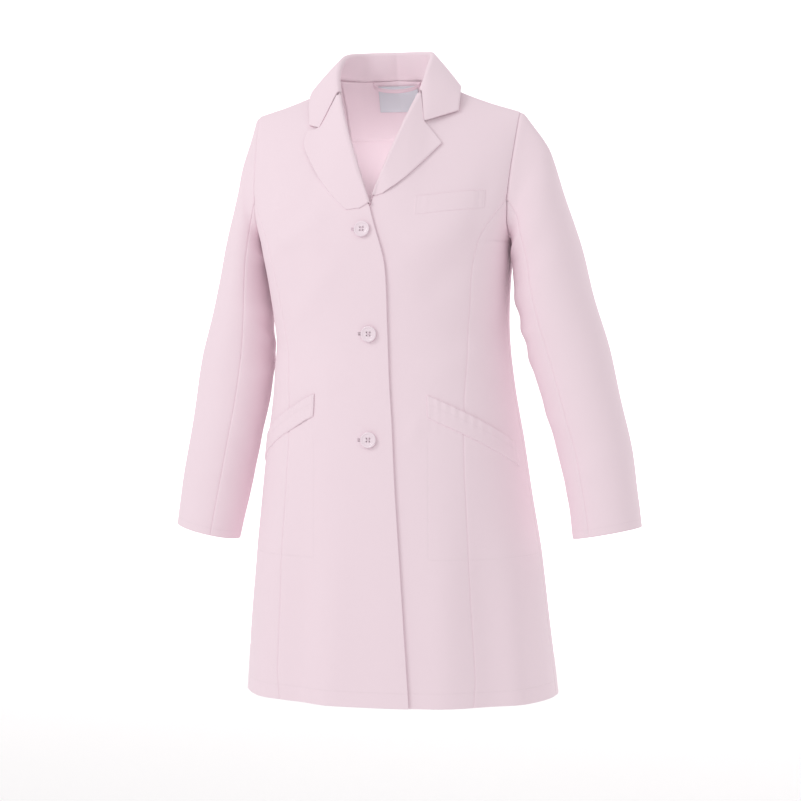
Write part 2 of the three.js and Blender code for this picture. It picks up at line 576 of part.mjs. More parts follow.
// ---- Buttons ------------------------------------------------------------------------------
function buttonFrame({ x, z }) {
  const g = bodyPoint(1, x - drift(z), z, -1, 0, 0);
  const turn = new THREE.Quaternion().setFromUnitVectors(new THREE.Vector3(0, 0, 1), new THREE.Vector3(...g.n));
  const lift = liftOf(-1, x, z);
  const at = (d) => new THREE.Vector3(...along(g.p, g.n, d));
  return { turn, lift, at, n: g.n };
}
const rod = (r, from, to, x = 0, y = 0, sides = 8) =>
  new THREE.CylinderGeometry(r, r, to - from, sides).rotateX(PI / 2).translate(x, y, (from + to) / 2);
const HOLES = [[1, 1], [-1, 1], [-1, -1], [1, -1]].map((q) => q.map((v) => v * BUTTON_HOLE_OFFSET / 1.4));
function buttonBlank() {
  const profile = [[0, 0], [BUTTON_R - 1, 0], [BUTTON_R, 1], [BUTTON_R, BUTTON_THICK - 0.6],
    [BUTTON_R - 0.8, BUTTON_THICK], [BUTTON_R - 3, BUTTON_THICK - 0.9], [0, BUTTON_THICK - 0.9]];
  const disc = new THREE.LatheGeometry(profile.map((q) => new THREE.Vector2(...q)), 18).rotateX(PI / 2);
  const clean = facingOut(withoutSlivers(mergedPosition(disc)));
  return cut(clean, ...HOLES.map(([x, y]) => rod(BUTTON_HOLE_R, -1, BUTTON_THICK + 1, x, y, 6)));
}
function mergedPosition(geometry) {
  geometry.deleteAttribute('normal');
  geometry.deleteAttribute('uv');
  return mergeVertices(geometry, 1e-3);
}
// Thread: a shank through the buttonhole, a pad under the button and two bars over its face.
function threadBlank(shankDown) {
  const pad = rod(BUTTON_HOLE_OFFSET + 1.4, -0.9, -0.35, 0, 0, 12);
  const shank = rod(SHANK_R, -shankDown, -0.6);
  const posts = HOLES.map(([x, y]) => rod(THREAD_R, -0.6, BUTTON_THICK + 0.5, x, y, 6));
  const bar = (y) => new THREE.BoxGeometry(2 * abs(HOLES[0][0]) + 2 * THREAD_R, 1.2, 1)
    .translate(0, y, BUTTON_THICK + 0.2);
  return join(pad, shank, ...posts, bar(HOLES[0][1]), bar(HOLES[2][1]));
}

// ---- Assembly -----------------------------------------------------------------------------
const PINK = 0xf2dfe6;
const coat = new THREE.Group();
function add(name, geometry, colour = PINK, roughness = 0.85) {
  geometry.computeVertexNormals();
  const material = new THREE.MeshStandardMaterial({ color: colour, roughness, metalness: 0 });
  const mesh = new THREE.Mesh(geometry, material);
  mesh.name = name;
  coat.add(mesh);
  return mesh;
}

const centreBack = () => 0;
const SIDES = [['left', 1], ['right', -1]];
const buttonholes = BUTTONS.map((b) => {
  const f = buttonFrame(b);
  const shape = new THREE.BoxGeometry(BUTTONHOLE.length, BUTTONHOLE.width, 12)
    .translate(-BUTTONHOLE.length / 2 + BUTTONHOLE.width / 2, 0, 0);
  shape.applyQuaternion(f.turn);
  const at = f.at(f.lift);
  return shape.translate(at.x, at.y, at.z);
});

const ROOM = 2 * SEAM_GAP;
const COLLAR_LAYERS = [[-CLOTH / 2, CLOTH / 2], [CLOTH / 2 + 0.7, 1.5 * CLOTH + 0.7]];
const NUDGES = [[0, 0, 0], [0.3, 0, 0], [-0.3, 0, 0], [0, 0.3, 0], [0, -0.3, 0], [0, 0, 0.3], [0, 0, -0.3]];
const nudged = (geometry) => NUDGES.map((d) => geometry.clone().translate(...d));
const collarRoom = COLLAR_LAYERS.flatMap(([low, high]) => [
  ...nudged(collar(low, high)),
  ...[1, 2].map((k) => collar(low - k * ROOM / 2, high + k * ROOM / 2, k * ROOM)),
]);

SIDES.forEach(([word, side]) => {
  const edge = side > 0 ? leftEdge : rightEdge;
  const hole = side > 0 ? [chestMouth(), hipMouth(side)] : [hipMouth(side), ...buttonholes];
  const lapelRoom = [...nudged(lapel(side, NOTCH[word])), lapel(side, NOTCH[word], ROOM)];
  const centreFront = centrePanel(side, -1, edge, FRONT_SEAM, FRONT_PARTS, FACING_STEPS);
  add(`center_front_${word}`, cut(centreFront, ...collarRoom, ...lapelRoom, ...hole));
  add(`side_front_${word}`, cut(sidePanel(side, -1, FRONT_SEAM, FRONT_PARTS, 4), hipMouth(side)));
  const cb = centrePanel(side, 1, () => side * SEAM_GAP / 2 + drift(0), BACK_SEAM, BACK_PARTS, BACK_FACING_STEPS, backTop);
  add(`center_back_${word}`, cb);
  add(`side_back_${word}`, sidePanel(side, 1, BACK_SEAM, BACK_PARTS, 4));
  const { front, back } = SLEEVE_SEAMS;
  add(`upper_sleeve_${word}`, sleevePanel(side, SLEEVE[word], back - 360, front, 8));
  add(`under_sleeve_${word}`, sleevePanel(side, SLEEVE[word], front, back, 5));
  const facing = join(facingStrip(side, edge), lapel(side, NOTCH[word]));
  add(`front_facing_${word}`, cut(facing, ...collarRoom, ...(side > 0 ? [] : buttonholes)));
  add(`hip_welt_${word}`, hipPatch(side, HIP_WELT.across, hipLine,
    [-HIP_WELT.height / 2, HIP_WELT.height / 2], ON_TOP, ON_TOP + 1.5 * CLOTH, 6, 1));
  const hipBag = (spread, height, low, high) => hipPatch(side, spread, hipLine, height, low, high, 6, 3);
  add(`hip_pocket_bag_${word}`, pouch(hipBag, HIP_BAG.across, HIP_BAG.depth,
    [HIP_BAG.across[0] + 5, HIP_BAG.across[1] - 4]));
});

add('chest_welt', chestPatch(CHEST_WELT.x, chestLine, [-CHEST_WELT.height / 2, CHEST_WELT.height / 2],
  ON_TOP, ON_TOP + 1.5 * CLOTH, 5, 1));
const chestBag = (spread, height, low, high) => chestPatch(spread, chestLine, height, low, high, 4, 3);
add('chest_pocket_bag', pouch(chestBag, CHEST_BAG.x, CHEST_BAG.depth, [CHEST_BAG.x[0] + 5, CHEST_BAG.x[1] - 5]));

['under_collar', 'top_collar'].forEach((name, k) => add(name, collar(...COLLAR_LAYERS[k])));

function backFacing() {
  const steps = [...BACK_FACING_STEPS.slice(1).map((x) => -x).reverse(), ...BACK_FACING_STEPS];
  const grid = BACK_PARTS.slice(2).map((part) =>
    steps.map((x) => bodyPoint(1, x, backTop(x, part), 1, FACING_LOW, FACING_HIGH)));
  return sheet(grid);
}
add('back_neck_facing', backFacing());

function neckLabel() {
  const low = FACING_LOW - LAYER_GAP - LABEL.thick;
  const steps = [-LABEL.width / 2, -BACK_FACING_STEPS[1], 0, BACK_FACING_STEPS[1], LABEL.width / 2];
  const grid = sharing(3).map((r) => steps.map((x) =>
    bodyPoint(1, x, LABEL.top - LABEL.height * r, 1, low, low + LABEL.thick)));
  return sheet(grid);
}
add('neck_label', neckLabel(), 0xd8d9df, 0.6);

// The loop's tape hangs from its two sewn ends in a shallow bow with room for a hook behind it.
function hangerLoop() {
  const grid = sharing(10).map((f) => {
    const a = PI * f;
    const x = -LOOP.half * cos(a);
    const wall = bodyPoint(1, x, LOOP.roots, 1, 0, 0);
    const bow = sin(a);
    const p = [x, wall.p[1] + FACING_LOW - 0.8 - LOOP.reach * bow, LOOP.roots - LOOP.sag * bow];
    return [0, 1].map((k) => ({ p: [p[0], p[1], p[2] - k * LOOP.tape], n: [0, -1, 0], low: 0, high: LOOP.thick }));
  });
  return sheet(grid);
}
add('hanger_loop', hangerLoop());

BUTTONS.forEach((spot, k) => {
  const f = buttonFrame(spot);
  const back = f.lift + CLOTH + BUTTON_GAP;
  const place = (mesh) => {
    mesh.quaternion.copy(f.turn);
    mesh.position.copy(f.at(back));
  };
  place(add(`button_${k + 1}`, buttonBlank(), 0xf3e4ea, 0.35));
  place(add(`button_thread_${k + 1}`, threadBlank(back - CLOTH - 0.5), 0xf0dde4, 0.7));
});

export default coat;
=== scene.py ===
# %% [markdown]
# # Lab coat: how it looks
# The coat hangs as worn, buttoned. The front faces -Y, up is +Z and the wearer's left is +X.
# Every cloth piece is laid on one shared surface of the body, worked out in millimetres.

# %% Frame
import math

import bpy
import numpy as np
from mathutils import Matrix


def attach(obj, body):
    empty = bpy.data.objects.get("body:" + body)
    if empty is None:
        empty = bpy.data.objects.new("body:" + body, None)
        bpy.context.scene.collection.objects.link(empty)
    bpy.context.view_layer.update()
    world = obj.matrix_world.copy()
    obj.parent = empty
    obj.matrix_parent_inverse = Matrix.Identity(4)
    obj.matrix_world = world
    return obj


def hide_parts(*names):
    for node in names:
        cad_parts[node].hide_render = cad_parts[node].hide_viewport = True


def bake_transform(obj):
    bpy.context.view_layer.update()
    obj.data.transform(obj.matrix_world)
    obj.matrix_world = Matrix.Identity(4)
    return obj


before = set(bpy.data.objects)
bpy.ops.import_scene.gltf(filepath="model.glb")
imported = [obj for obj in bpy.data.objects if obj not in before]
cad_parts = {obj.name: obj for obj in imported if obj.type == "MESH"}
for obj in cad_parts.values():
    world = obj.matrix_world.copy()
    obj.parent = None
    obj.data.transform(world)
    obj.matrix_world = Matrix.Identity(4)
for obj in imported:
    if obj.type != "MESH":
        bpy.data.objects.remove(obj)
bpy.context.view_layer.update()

# %% [markdown]
# ## Sizes
# The same sizes as the CAD part, in millimetres.

# %% Sizes
BACK_LENGTH, CLOTH, LAYER_GAP = 865, 1.0, 0.9
ARMPIT, SHOULDER_X, SHOULDER_Z, ARMHOLE_LOW_X = -235, 192, -53, 180
NECK_X, MIDDLE_Y, OVERLAP, FACING_WIDTH = 77, -55, 52, 62
STAND, COLLAR_FOLD_R, SHOULDER_ROUNDING = 38, 2.6, 1.35
HALF_WIDTH = [(-865, 221), (-675, 203), (-600, 193), (-517, 183), (-440, 171), (-370, 166),
              (-300, 170), (-235, 178.4), (-200, 188), (-150, 197), (-90, 200), (0, 201)]
FRONT_DEPTH = [(-865, 166), (-560, 146), (-385, 129), (-235, 134), (-150, 128), (0, 120)]
BACK_DEPTH = [(-865, 158), (-560, 130), (-385, 104), (-235, 113), (-150, 113), (0, 115)]
SQUARENESS = [(-865, 2.1), (-560, 2.2), (-385, 2.3), (-235, 2.5), (0, 2.6)]
SIDE_DRIFT = [(-865, 20), (-600, 14), (-385, 8), (-235, 0), (0, 0)]
SHOULDER_LINE = [(0, 88), (30, 76), (50, 48), (65, 18), (NECK_X, -3), (90, -15), (110, -25),
                 (150, -40), (SHOULDER_X, SHOULDER_Z), (SHOULDER_X + 20, SHOULDER_Z - 9)]
BREAK, GORGE = (9, -187), (58, -25)
RIGHT_EDGE = [(-865, 74), (-694, 60), (-586, 51), (-492, 44), (-424, 38), (-355, 35),
              (-274, 33), (-246, 28), (-212, 17), (BREAK[1], BREAK[0])]
LEFT_EDGE_TOP = [(-246, -24), (-212, -6), (BREAK[1], BREAK[0])]
FRONT_SEAM = [(-865, 142), (-690, 133), (-459, 125), (-315, 137), (-235, 152), (-171, 186)]
BACK_SEAM = [(-865, 130), (-560, 108), (-385, 94), (-300, 104), (-235, 126), (-150, 188)]
NOTCH = {
    1: dict(corner=(110, -53), inner=(68, -68), tip=(96, -99), edge=[(54, -147), (22, -172)],
            low=-172),
    -1: dict(corner=(101, -71), inner=(83, -75), tip=(102, -79),
             edge=[(101, -104), (60, -158), (18, -198)], low=-184),
}
BUTTONS = [(1, -219), (10, -361), (13, -506)]
SLEEVE = {
    1: dict(outer=[(192, -53), (231, -106), (255, -176), (277, -245), (295, -314), (316, -384),
                   (333, -453), (349, -521), (360, -590), (364, -626)],
            inner=[(180, -235), (181, -262), (186, -310), (199, -366), (226, -453), (243, -509),
                   (259, -570), (270, -644)]),
    -1: dict(outer=[(192, -53), (204, -92), (220, -165), (237, -243), (253, -315), (271, -388),
                    (282, -459), (292, -531), (303, -604), (307, -636)],
             inner=[(180, -235), (178, -268), (174, -340), (171, -402), (177, -459), (192, -531),
                    (207, -603), (218, -657)]),
}
SLEEVE_LAG = [(0, 0), (0.15, 0.025), (0.3, 0.09), (0.45, 0.27), (0.6, 0.47), (1, 1)]
SLEEVE_HALF_DEPTH = [(0, 46), (0.3, 56), (0.6, 53), (1, 44)]
SLEEVE_FORWARD = [(0, 0), (0.4, 1), (1, 18)]
SLEEVE_FRONT_SEAM, SLEEVE_BACK_SEAM = 112, 250
HEM_STITCH, CUFF_STITCH = 20, 11
LIFT = 2 * (CLOTH + LAYER_GAP)
LAPEL_OFFSET = CLOTH + LAYER_GAP + 0.8 + CLOTH / 2
WELT = dict(across=(82, 178), z=(-460, -531), height=31)
HIP_BAG = dict(across=(74, 166), depth=150)
HIP_LEVEL = -500
BAG_PRINT = dict(x=80, z=-667)  # where the hip bag's edge presses into the front
CHEST = dict(x=(70, 160), z=(-186, -176), height=25)
CHEST_BAG = dict(x=(FACING_WIDTH + 17, 151), depth=120)
BAG_LAYERS = (-3.4, -5.6)
SLEEVE_RUN = 600
LABEL = dict(wide=60, high=36, top=-7, thick=0.5, off=1.3)
LOOP = dict(half=35, sag=11, reach=13, tape=5, thick=1.0, roots=-3, off=0.8)
BUTTON_R, BUTTON_THICK, HOLE_R, HOLE_AT, BUTTON_GAP = 11, 3, 1.2, 1.86, 1.6

# %% [markdown]
# ## The body surface
# Curves run smoothly through listed pairs. Depth in front of and behind the middle plane makes
# the trunk, and it rounds over to nothing at the shoulder line.

# %% Curves and surface
def through(pairs, at):
    t = np.array([p[0] for p in pairs], float)
    v = np.array([p[1] for p in pairs], float)
    at = np.asarray(at, float)
    last = len(t) - 1
    i = np.searchsorted(t[1:-1], at, side="left")
    low, high = np.maximum(np.arange(last + 1) - 1, 0), np.minimum(np.arange(last + 1) + 1, last)
    width = t[i + 1] - t[i]
    s = np.clip((at - t[i]) / width, 0, 1)
    if v.ndim == 2:
        s, width = s[..., None], width[..., None]
        slope = (v[high] - v[low]) / (t[high] - t[low])[:, None]
    else:
        slope = (v[high] - v[low]) / (t[high] - t[low])
    return ((2 * s**3 - 3 * s**2 + 1) * v[i] + (s**3 - 2 * s**2 + s) * slope[i] * width
            + (3 * s**2 - 2 * s**3) * v[i + 1] + (s**3 - s**2) * slope[i + 1] * width)


def mix(a, b, t):
    return a + (b - a) * t


def ease(t):
    c = np.clip(t, 0, 1)
    return c * c * (3 - 2 * c)


def bell(d, width):
    return np.exp(-((d / width) ** 2))


def unit(v):
    return v / np.maximum(np.linalg.norm(v, axis=-1, keepdims=True), 1e-9)


def xyz(x, y, z):
    return np.stack(np.broadcast_arrays(np.asarray(x, float), y, z), -1)


def drift(z):
    return through(SIDE_DRIFT, z)


def shoulder(x):
    return through(SHOULDER_LINE, np.abs(x))


def armhole_x(z):
    return mix(ARMHOLE_LOW_X, SHOULDER_X, (np.asarray(z, float) - ARMPIT) / (SHOULDER_Z - ARMPIT))


def depth(x, z, face):
    half, n = through(HALF_WIDTH, z), through(SQUARENESS, z)
    full = through(FRONT_DEPTH if face < 0 else BACK_DEPTH, z)
    across = np.maximum(0, 1 - (np.abs(x) / half) ** n) ** (1 / n)
    top = shoulder(x)
    below = np.clip((top - z) / (top - ARMPIT), 0, 1)
    return full * across * (1 - (1 - below) ** SHOULDER_ROUNDING) ** (1 / SHOULDER_ROUNDING)


def on_face(x, z, face):
    return xyz(x, MIDDLE_Y + face * depth(x, z, face), z)


def on_side(angle, z):
    n = through(SQUARENESS, z)
    front, back = through(FRONT_DEPTH, z), through(BACK_DEPTH, z)
    reach = np.where(np.cos(angle) > 0, -front, back) * np.abs(np.cos(angle)) ** (2 / n)
    return xyz(through(HALF_WIDTH, z) * np.sin(angle) ** (2 / n), MIDDLE_Y + reach, z)


def angle_at(x, z):
    return np.arcsin(np.minimum(1, x / through(HALF_WIDTH, z)) ** (through(SQUARENESS, z) / 2))


def height_at(x, part):
    return shoulder(x) - part * (shoulder(x) - ARMPIT)


def part_at(x, z):
    return (shoulder(x) - z) / (shoulder(x) - ARMPIT)


def placed(side, p, n, z):
    p, n = p.copy(), n.copy()
    p[..., 0] = side * p[..., 0] + drift(z)
    n[..., 0] *= side
    return p, n


def body(side, x, z, face):
    x, z = np.broadcast_arrays(np.asarray(x, float), np.asarray(z, float))
    a = on_face(x + 0.5, z, face) - on_face(x - 0.5, z, face)
    b = on_face(x, z + 0.1, face) - on_face(x, z - 0.1, face)
    n = unit(np.cross(a, b))
    n = np.where((n[..., 1] * face < 0)[..., None], -n, n)
    return placed(side, on_face(x, z, face), n, z)


def flank(side, angle, z):
    angle, z = np.broadcast_arrays(np.asarray(angle, float), np.asarray(z, float))
    up, down = np.minimum(angle + 0.004, math.pi - 0.001), np.maximum(angle - 0.004, 0.001)
    n = unit(np.cross(on_side(up, z) - on_side(down, z),
                      on_side(angle, z + 1) - on_side(angle, z - 1)))
    return placed(side, on_side(angle, z), n, z)


def roll_x(side, z):
    up = (z - BREAK[1]) / (GORGE[1] - BREAK[1])
    above = mix(GORGE[0], NECK_X, ease((z - GORGE[1]) / (shoulder(NECK_X) - GORGE[1]) / 2) * 2)
    return np.where(up <= 1, mix(BREAK[0], side * GORGE[0], up), side * above)


def front_edge(side, z):
    z = np.asarray(z, float)
    if side < 0:
        return np.where(z < BREAK[1], through(RIGHT_EDGE, z), roll_x(-1, z))
    low = np.where(z < LEFT_EDGE_TOP[0][0], through(RIGHT_EDGE, z) - OVERLAP, through(LEFT_EDGE_TOP, z))
    return np.where(z < BREAK[1], low, roll_x(1, z))


def lift_of(side, x, z):
    if side > 0:
        return np.zeros(np.broadcast(x, z).shape)
    across = ease((x + FRONT_SEAM[2][1] * 0.95) / 60)
    return LIFT * across * (1 - ease((z - BREAK[1]) / 60))


def crossing(line, part):
    x = 100.0
    for _ in range(60):
        x = mix(x, float(line(height_at(x, part))), 0.5)
    return x


def seam_limit(seam, z):
    hole = armhole_x(z) - CLOTH
    return np.where(z < seam[-1][0], np.minimum(through(seam, z), hole), hole)

# %% [markdown]
# ## Drape
# Soft folds push every layer along its normal by the same amount, so that layers stay apart.
# Each fold is a ridge or a hollow between two points of the front or back, as across, height.

# %% Folds
FRONT_FOLDS = [
    ((-150, -250), (-70, -205), 16, 3.2), ((-160, -215), (-95, -150), 20, 2.6),
    ((-172, -120), (-140, -230), 16, -3.0), ((150, -250), (95, -300), 18, -2.4),
    ((165, -130), (150, -225), 14, -2.6), ((60, -260), (110, -225), 24, 2.6),
    ((-120, -560), (-150, -900), 26, 6.5), ((-75, -600), (-85, -900), 22, -4.0),
    ((-30, -620), (-36, -900), 24, 3.0), ((150, -560), (182, -900), 24, -5.0),
    ((112, -600), (122, -900), 26, 4.5), ((195, -640), (212, -900), 16, 5.0),
    ((-170, -360), (-90, -420), 22, -2.6), ((-160, -400), (-60, -430), 26, 2.2),
    ((100, -380), (170, -350), 24, -2.2), ((70, -430), (150, -385), 22, 1.8),
    ((30, -250), (80, -300), 22, 2.0), ((-20, -245), (-95, -330), 20, 2.2),
    ((84, -470), (70, -500), 12, 2.0), ((-84, -470), (-72, -500), 12, 2.0),
]
BACK_FOLDS = [
    ((-110, -520), (-140, -900), 30, 6.0), ((-40, -560), (-52, -900), 26, -5.0),
    ((35, -540), (46, -900), 28, 5.0), ((115, -560), (150, -900), 28, -5.0),
    ((-120, -330), (-30, -350), 30, -3.0), ((120, -330), (30, -352), 30, -3.0),
    ((-150, -180), (-80, -130), 26, 3.0), ((150, -180), (80, -130), 26, 3.0),
    ((0, -120), (0, -300), 40, 2.5),
]


def ridge(x, z, a, b, width, height):
    (ax, az), (bx, bz) = a, b
    length = math.hypot(bx - ax, bz - az)
    ux, uz = (bx - ax) / length, (bz - az) / length
    along = ((x - ax) * ux + (z - az) * uz) / length
    aside = (x - ax) * uz - (z - az) * ux
    over = np.maximum(0, np.maximum(-along, along - 1)) * length
    ramp = ease(along * 2.2) * 0.75 + 0.25
    return height * ramp * bell(aside, width) * bell(over, width * 1.1)


def pocket_pucker(x, z):
    """Small upright ripples above the hip welts and below their inner ends."""
    near, far = WELT["across"]
    share = (np.abs(x - drift(z)) - near) / (far - near)
    up = z - mix(*WELT["z"], share)
    inside = ease((share + 0.12) / 0.12) * ease((1.1 - share) / 0.15)
    above = 0.6 * bell(up - 19, 9) * (0.35 + 0.65 * bell(share - 0.45, 0.3))
    below = 0.5 * bell(up + 20, 9) * bell(share - 0.08, 0.2)
    return np.sin(x / 1.75) * (above + below) * inside


def drape(p):
    x, y, z = p[..., 0], p[..., 1], p[..., 2]
    front = ease((MIDDLE_Y + 25 - y) / 60)
    total = sum(ridge(x, z, *f) for f in FRONT_FOLDS) * front
    total = total + sum(ridge(x, z, *f) for f in BACK_FOLDS) * (1 - front)
    slow = 0.8 * np.sin(x / 31 + z / 70) * np.sin(z / 53 - x / 90 + 1.3)
    calm = ease((-z - 40) / 90)
    return (total + slow) * calm + pocket_pucker(x, z) * front


# %% [markdown]
# ## Cloth pieces
# A piece is a grid of points and normals. It becomes one closed sheet of cloth, and carries the
# distance to its stitch lines so that the shader can draw them.

# %% Sheets
STEP = 1
FAR_AWAY = 999.0  # a distance that no stitch line is drawn at
PIECES = {}


class Grid:
    def __init__(self, p, n, low, high, **lines):
        shape = p.shape[:2]
        self.p, self.n = p, n
        self.low = np.broadcast_to(np.asarray(low, float), shape).copy()
        self.high = np.broadcast_to(np.asarray(high, float), shape).copy()
        self.lines = {k: np.broadcast_to(np.asarray(v, float), shape) for k, v in lines.items()}

    def shift(self, d):
        self.low, self.high = self.low + d, self.high + d
        return self

    def flat_size(self):
        rows = np.linalg.norm(np.diff(self.p, axis=1), axis=-1).sum(1).max()
        cols = np.linalg.norm(np.diff(self.p, axis=0), axis=-1).sum(0).max()
        a = np.cross(self.p[1:, :-1] - self.p[:-1, :-1], self.p[:-1, 1:] - self.p[:-1, :-1])
        b = np.cross(self.p[1:, 1:] - self.p[1:, :-1], self.p[1:, 1:] - self.p[:-1, 1:])
        area = (np.linalg.norm(a, axis=-1) + np.linalg.norm(b, axis=-1)).sum() / 2
        return rows / 1000, cols / 1000, area / 1e6


def run_across(p):
    """How far each point lies from the first of its row."""
    step = np.linalg.norm(np.diff(p, axis=1), axis=-1)
    return np.concatenate([np.zeros((len(p), 1)), np.cumsum(step, 1)], 1)


def closed(grid):
    """Points and faces of a closed sheet with its rim rounded by a middle row."""
    rows, cols = grid.p.shape[:2]
    top = grid.p + grid.n * grid.high[..., None]
    under = grid.p + grid.n * grid.low[..., None]
    k = np.arange(rows * cols).reshape(rows, cols)
    quads = np.stack([k[:-1, :-1], k[1:, :-1], k[1:, 1:], k[:-1, 1:]], -1).reshape(-1, 4)
    rim = np.concatenate([k[0, :-1], k[:-1, -1], k[-1, :0:-1], k[:0:-1, 0]])
    middle = (top + under).reshape(-1, 3)[rim] / 2
    inner = np.concatenate([k[1, :-1], k[:-1, -2], k[-2, :0:-1], k[:0:-1, 1]])
    away = unit(middle - ((top + under).reshape(-1, 3)[inner]) / 2)
    half = (np.linalg.norm((top - under).reshape(-1, 3)[rim], axis=-1) / 2)[:, None]
    points = np.concatenate([top.reshape(-1, 3), under.reshape(-1, 3), middle + away * half * 0.6])
    count = rows * cols
    m = 2 * count + np.arange(len(rim))
    nxt, mnxt = np.roll(rim, -1), np.roll(m, -1)
    faces = np.concatenate([
        quads, quads[:, ::-1] + count,
        np.stack([rim, nxt, mnxt, m], -1), np.stack([m, mnxt, nxt + count, rim + count], -1)])
    p0, p1, p2 = points[faces[:, 0]], points[faces[:, 1]], points[faces[:, 2]]
    p3 = points[faces[:, 3]]
    volume = (p0 * np.cross(p1, p2)).sum() + (p0 * np.cross(p2, p3)).sum()
    source = np.concatenate([np.arange(count), np.arange(count), rim])
    return points, faces if volume > 0 else faces[:, ::-1], source


def cloth(name, grids, node, mat, follows=None, rides="coat_body", free=True):
    """One object of closed sheets in place of CAD node, riding on a body, or with its transform baked and left
    without a parent where it follows a sleeve.
    """
    grids = grids if isinstance(grids, list) else [grids]
    points, faces, values, base = [], [], {}, 0
    keys = ["edge_a", "edge_b", "edge_c", "run_a", "run_b"]
    for grid in grids:
        p, f, source = closed(grid)
        points.append(p / 1000)
        faces.append(f + base)
        base += len(p)
        for key in keys:
            values.setdefault(key, []).append(
                np.ravel(grid.lines.get(key, np.full(grid.p.shape[:2], FAR_AWAY)))[source])
    points, faces = np.concatenate(points), np.concatenate(faces)
    mesh = bpy.data.meshes.new(name)
    mesh.from_pydata(points.tolist(), [], faces.tolist())
    for key in keys:
        layer = mesh.attributes.new(key, "FLOAT", "POINT")
        layer.data.foreach_set("value", np.concatenate(values[key]))
    mesh.polygons.foreach_set("use_smooth", [True] * len(mesh.polygons))
    mesh.materials.append(mat)
    piece = bpy.data.objects.new(name, mesh)
    bpy.context.scene.collection.objects.link(piece)
    if node:
        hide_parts(node)
    if follows:
        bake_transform(piece)
    else:
        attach(piece, rides)
    PIECES[name] = piece
    if not free:
        return piece
    sizes = [g.flat_size() for g in grids]
    w, l, area = max(s[0] for s in sizes), max(s[1] for s in sizes), sum(s[2] for s in sizes)
    if len(grids) > 1:
        w = max(w, area / l)
    min(area, w * l)
    print(f"{name}: {len(faces)} faces, flat {w:.3f} x {l:.3f} m, {area:.4f} m2")
    return piece

# %% [markdown]
# ## Materials
# Shader sums are written with ordinary signs on sockets. The cloth is a fine twill, with stitch lines drawn
# from the distances that each piece carries;
# along each stitch line the colour is painted a little darker, as painted shade in its groove.

# %% Shader helper
class Sock:
    def __init__(self, tree, socket):
        self.tree, self.socket = tree, socket

    def math(self, kind, *others):
        node = self.tree.nodes.new("ShaderNodeMath")
        node.operation = kind
        for slot, value in zip(node.inputs, (self, *others)):
            if isinstance(value, Sock):
                self.tree.links.new(value.socket, slot)
            else:
                slot.default_value = value
        return Sock(self.tree, node.outputs[0])

    def __add__(self, o): return self.math("ADD", o)
    def __sub__(self, o): return self.math("SUBTRACT", o)
    def __mul__(self, o): return self.math("MULTIPLY", o)
    def __truediv__(self, o): return self.math("DIVIDE", o)
    def __rsub__(self, o): return self.math("MULTIPLY_ADD", -1.0, o)
    __radd__, __rmul__ = __add__, __mul__
    def abs(self): return self.math("ABSOLUTE")
    def below(self, o): return self.math("LESS_THAN", o)
    def fract(self): return self.math("FRACT")
    def clamp(self): return self.math("MAXIMUM", 0.0).math("MINIMUM", 1.0)


def put(tree, kind, out=0, settings=(), **inputs):
    """Any node, with inputs by name, given as sockets or constants."""
    node = tree.nodes.new(kind)
    for key, value in dict(settings).items():
        setattr(node, key, value)
    for key, value in inputs.items():
        slot = node.inputs[key.replace("_", " ")]
        if isinstance(value, Sock):
            tree.links.new(value.socket, slot)
        else:
            slot.default_value = value
    return Sock(tree, node.outputs[out])


def linear(rgb):
    return [((c / 255 + 0.055) / 1.055) ** 2.4 for c in rgb] + [1.0]


def material(name, rgb, roughness, sheen=0.0, coat=0.0):
    mat = bpy.data.materials.new(name)
    mat.use_nodes = True
    tree = mat.node_tree
    shader = tree.nodes["Principled BSDF"]
    shader.inputs["Base Color"].default_value = linear(rgb)
    shader.inputs["Roughness"].default_value = roughness
    shader.inputs["Specular IOR Level"].default_value = 0.25
    shader.inputs["Sheen Weight"].default_value = sheen
    shader.inputs["Coat Weight"].default_value = coat
    return mat, tree, shader


def cloth_material(name, rgb, dark=0.93, weave=0.05):
    mat, tree, shader = material(name, rgb, 0.85, sheen=0.12)
    read = lambda key: put(tree, "ShaderNodeAttribute", 2, {"attribute_name": key})
    where = put(tree, "ShaderNodeTexCoord", 3)
    thread = lambda key, run: (read(key).abs().math("SUBTRACT", 0.42) * -2.6).clamp() * (
        (read(run) / 2.6).fract().below(0.68))
    channel = lambda key: (1.0 - read(key).abs() * 0.9).clamp()
    stitched = thread("edge_a", "run_a") + thread("edge_b", "run_b") + thread("edge_c", "run_b")
    grooves_and_shade = channel("edge_a") + channel("edge_b") + channel("edge_c")
    mottle = put(tree, "ShaderNodeTexNoise", 0, Vector=where, Scale=26.0, Detail=3.0)
    slub = put(tree, "ShaderNodeTexNoise", 0, Vector=where, Scale=900.0, Detail=2.0)
    height = stitched * 0.35 - grooves_and_shade * 0.3 + slub * weave + mottle * 0.5
    normal = put(tree, "ShaderNodeBump", 0, Strength=0.55, Distance=0.0009, Height=height)
    tree.links.new(normal.socket, shader.inputs["Normal"])
    # the stitch grooves are painted a little darker here as painted shade; mottle and slub are the cloth's own
    # random tone
    tone = mottle * 0.05 + slub * 0.04 + 0.955 - grooves_and_shade * 0.05
    colour = put(tree, "ShaderNodeMix", 2, {"data_type": "RGBA"})
    blend = colour.socket.node
    blend.inputs[6].default_value = [c * dark * 0.75 for c in linear(rgb)[:3]] + [1.0]
    blend.inputs[7].default_value = linear(rgb)
    tree.links.new(tone.clamp().socket, blend.inputs[0])
    tree.links.new(colour.socket, shader.inputs["Base Color"])
    return mat


SHELL = cloth_material("pink_twill", (246, 226, 234))
LINING = cloth_material("pink_twill_inside", (245, 224, 232))
TAPE = cloth_material("pink_tape", (236, 212, 222))
LABEL_MAT = cloth_material("label_satin", (222, 224, 231), weave=0.03)
BUTTON_MAT, _, _ = material("button_resin", (245, 228, 236), 0.32, coat=0.25)
THREAD_MAT, _, _ = material("thread", (240, 219, 229), 0.7, sheen=0.2)
print("materials made")

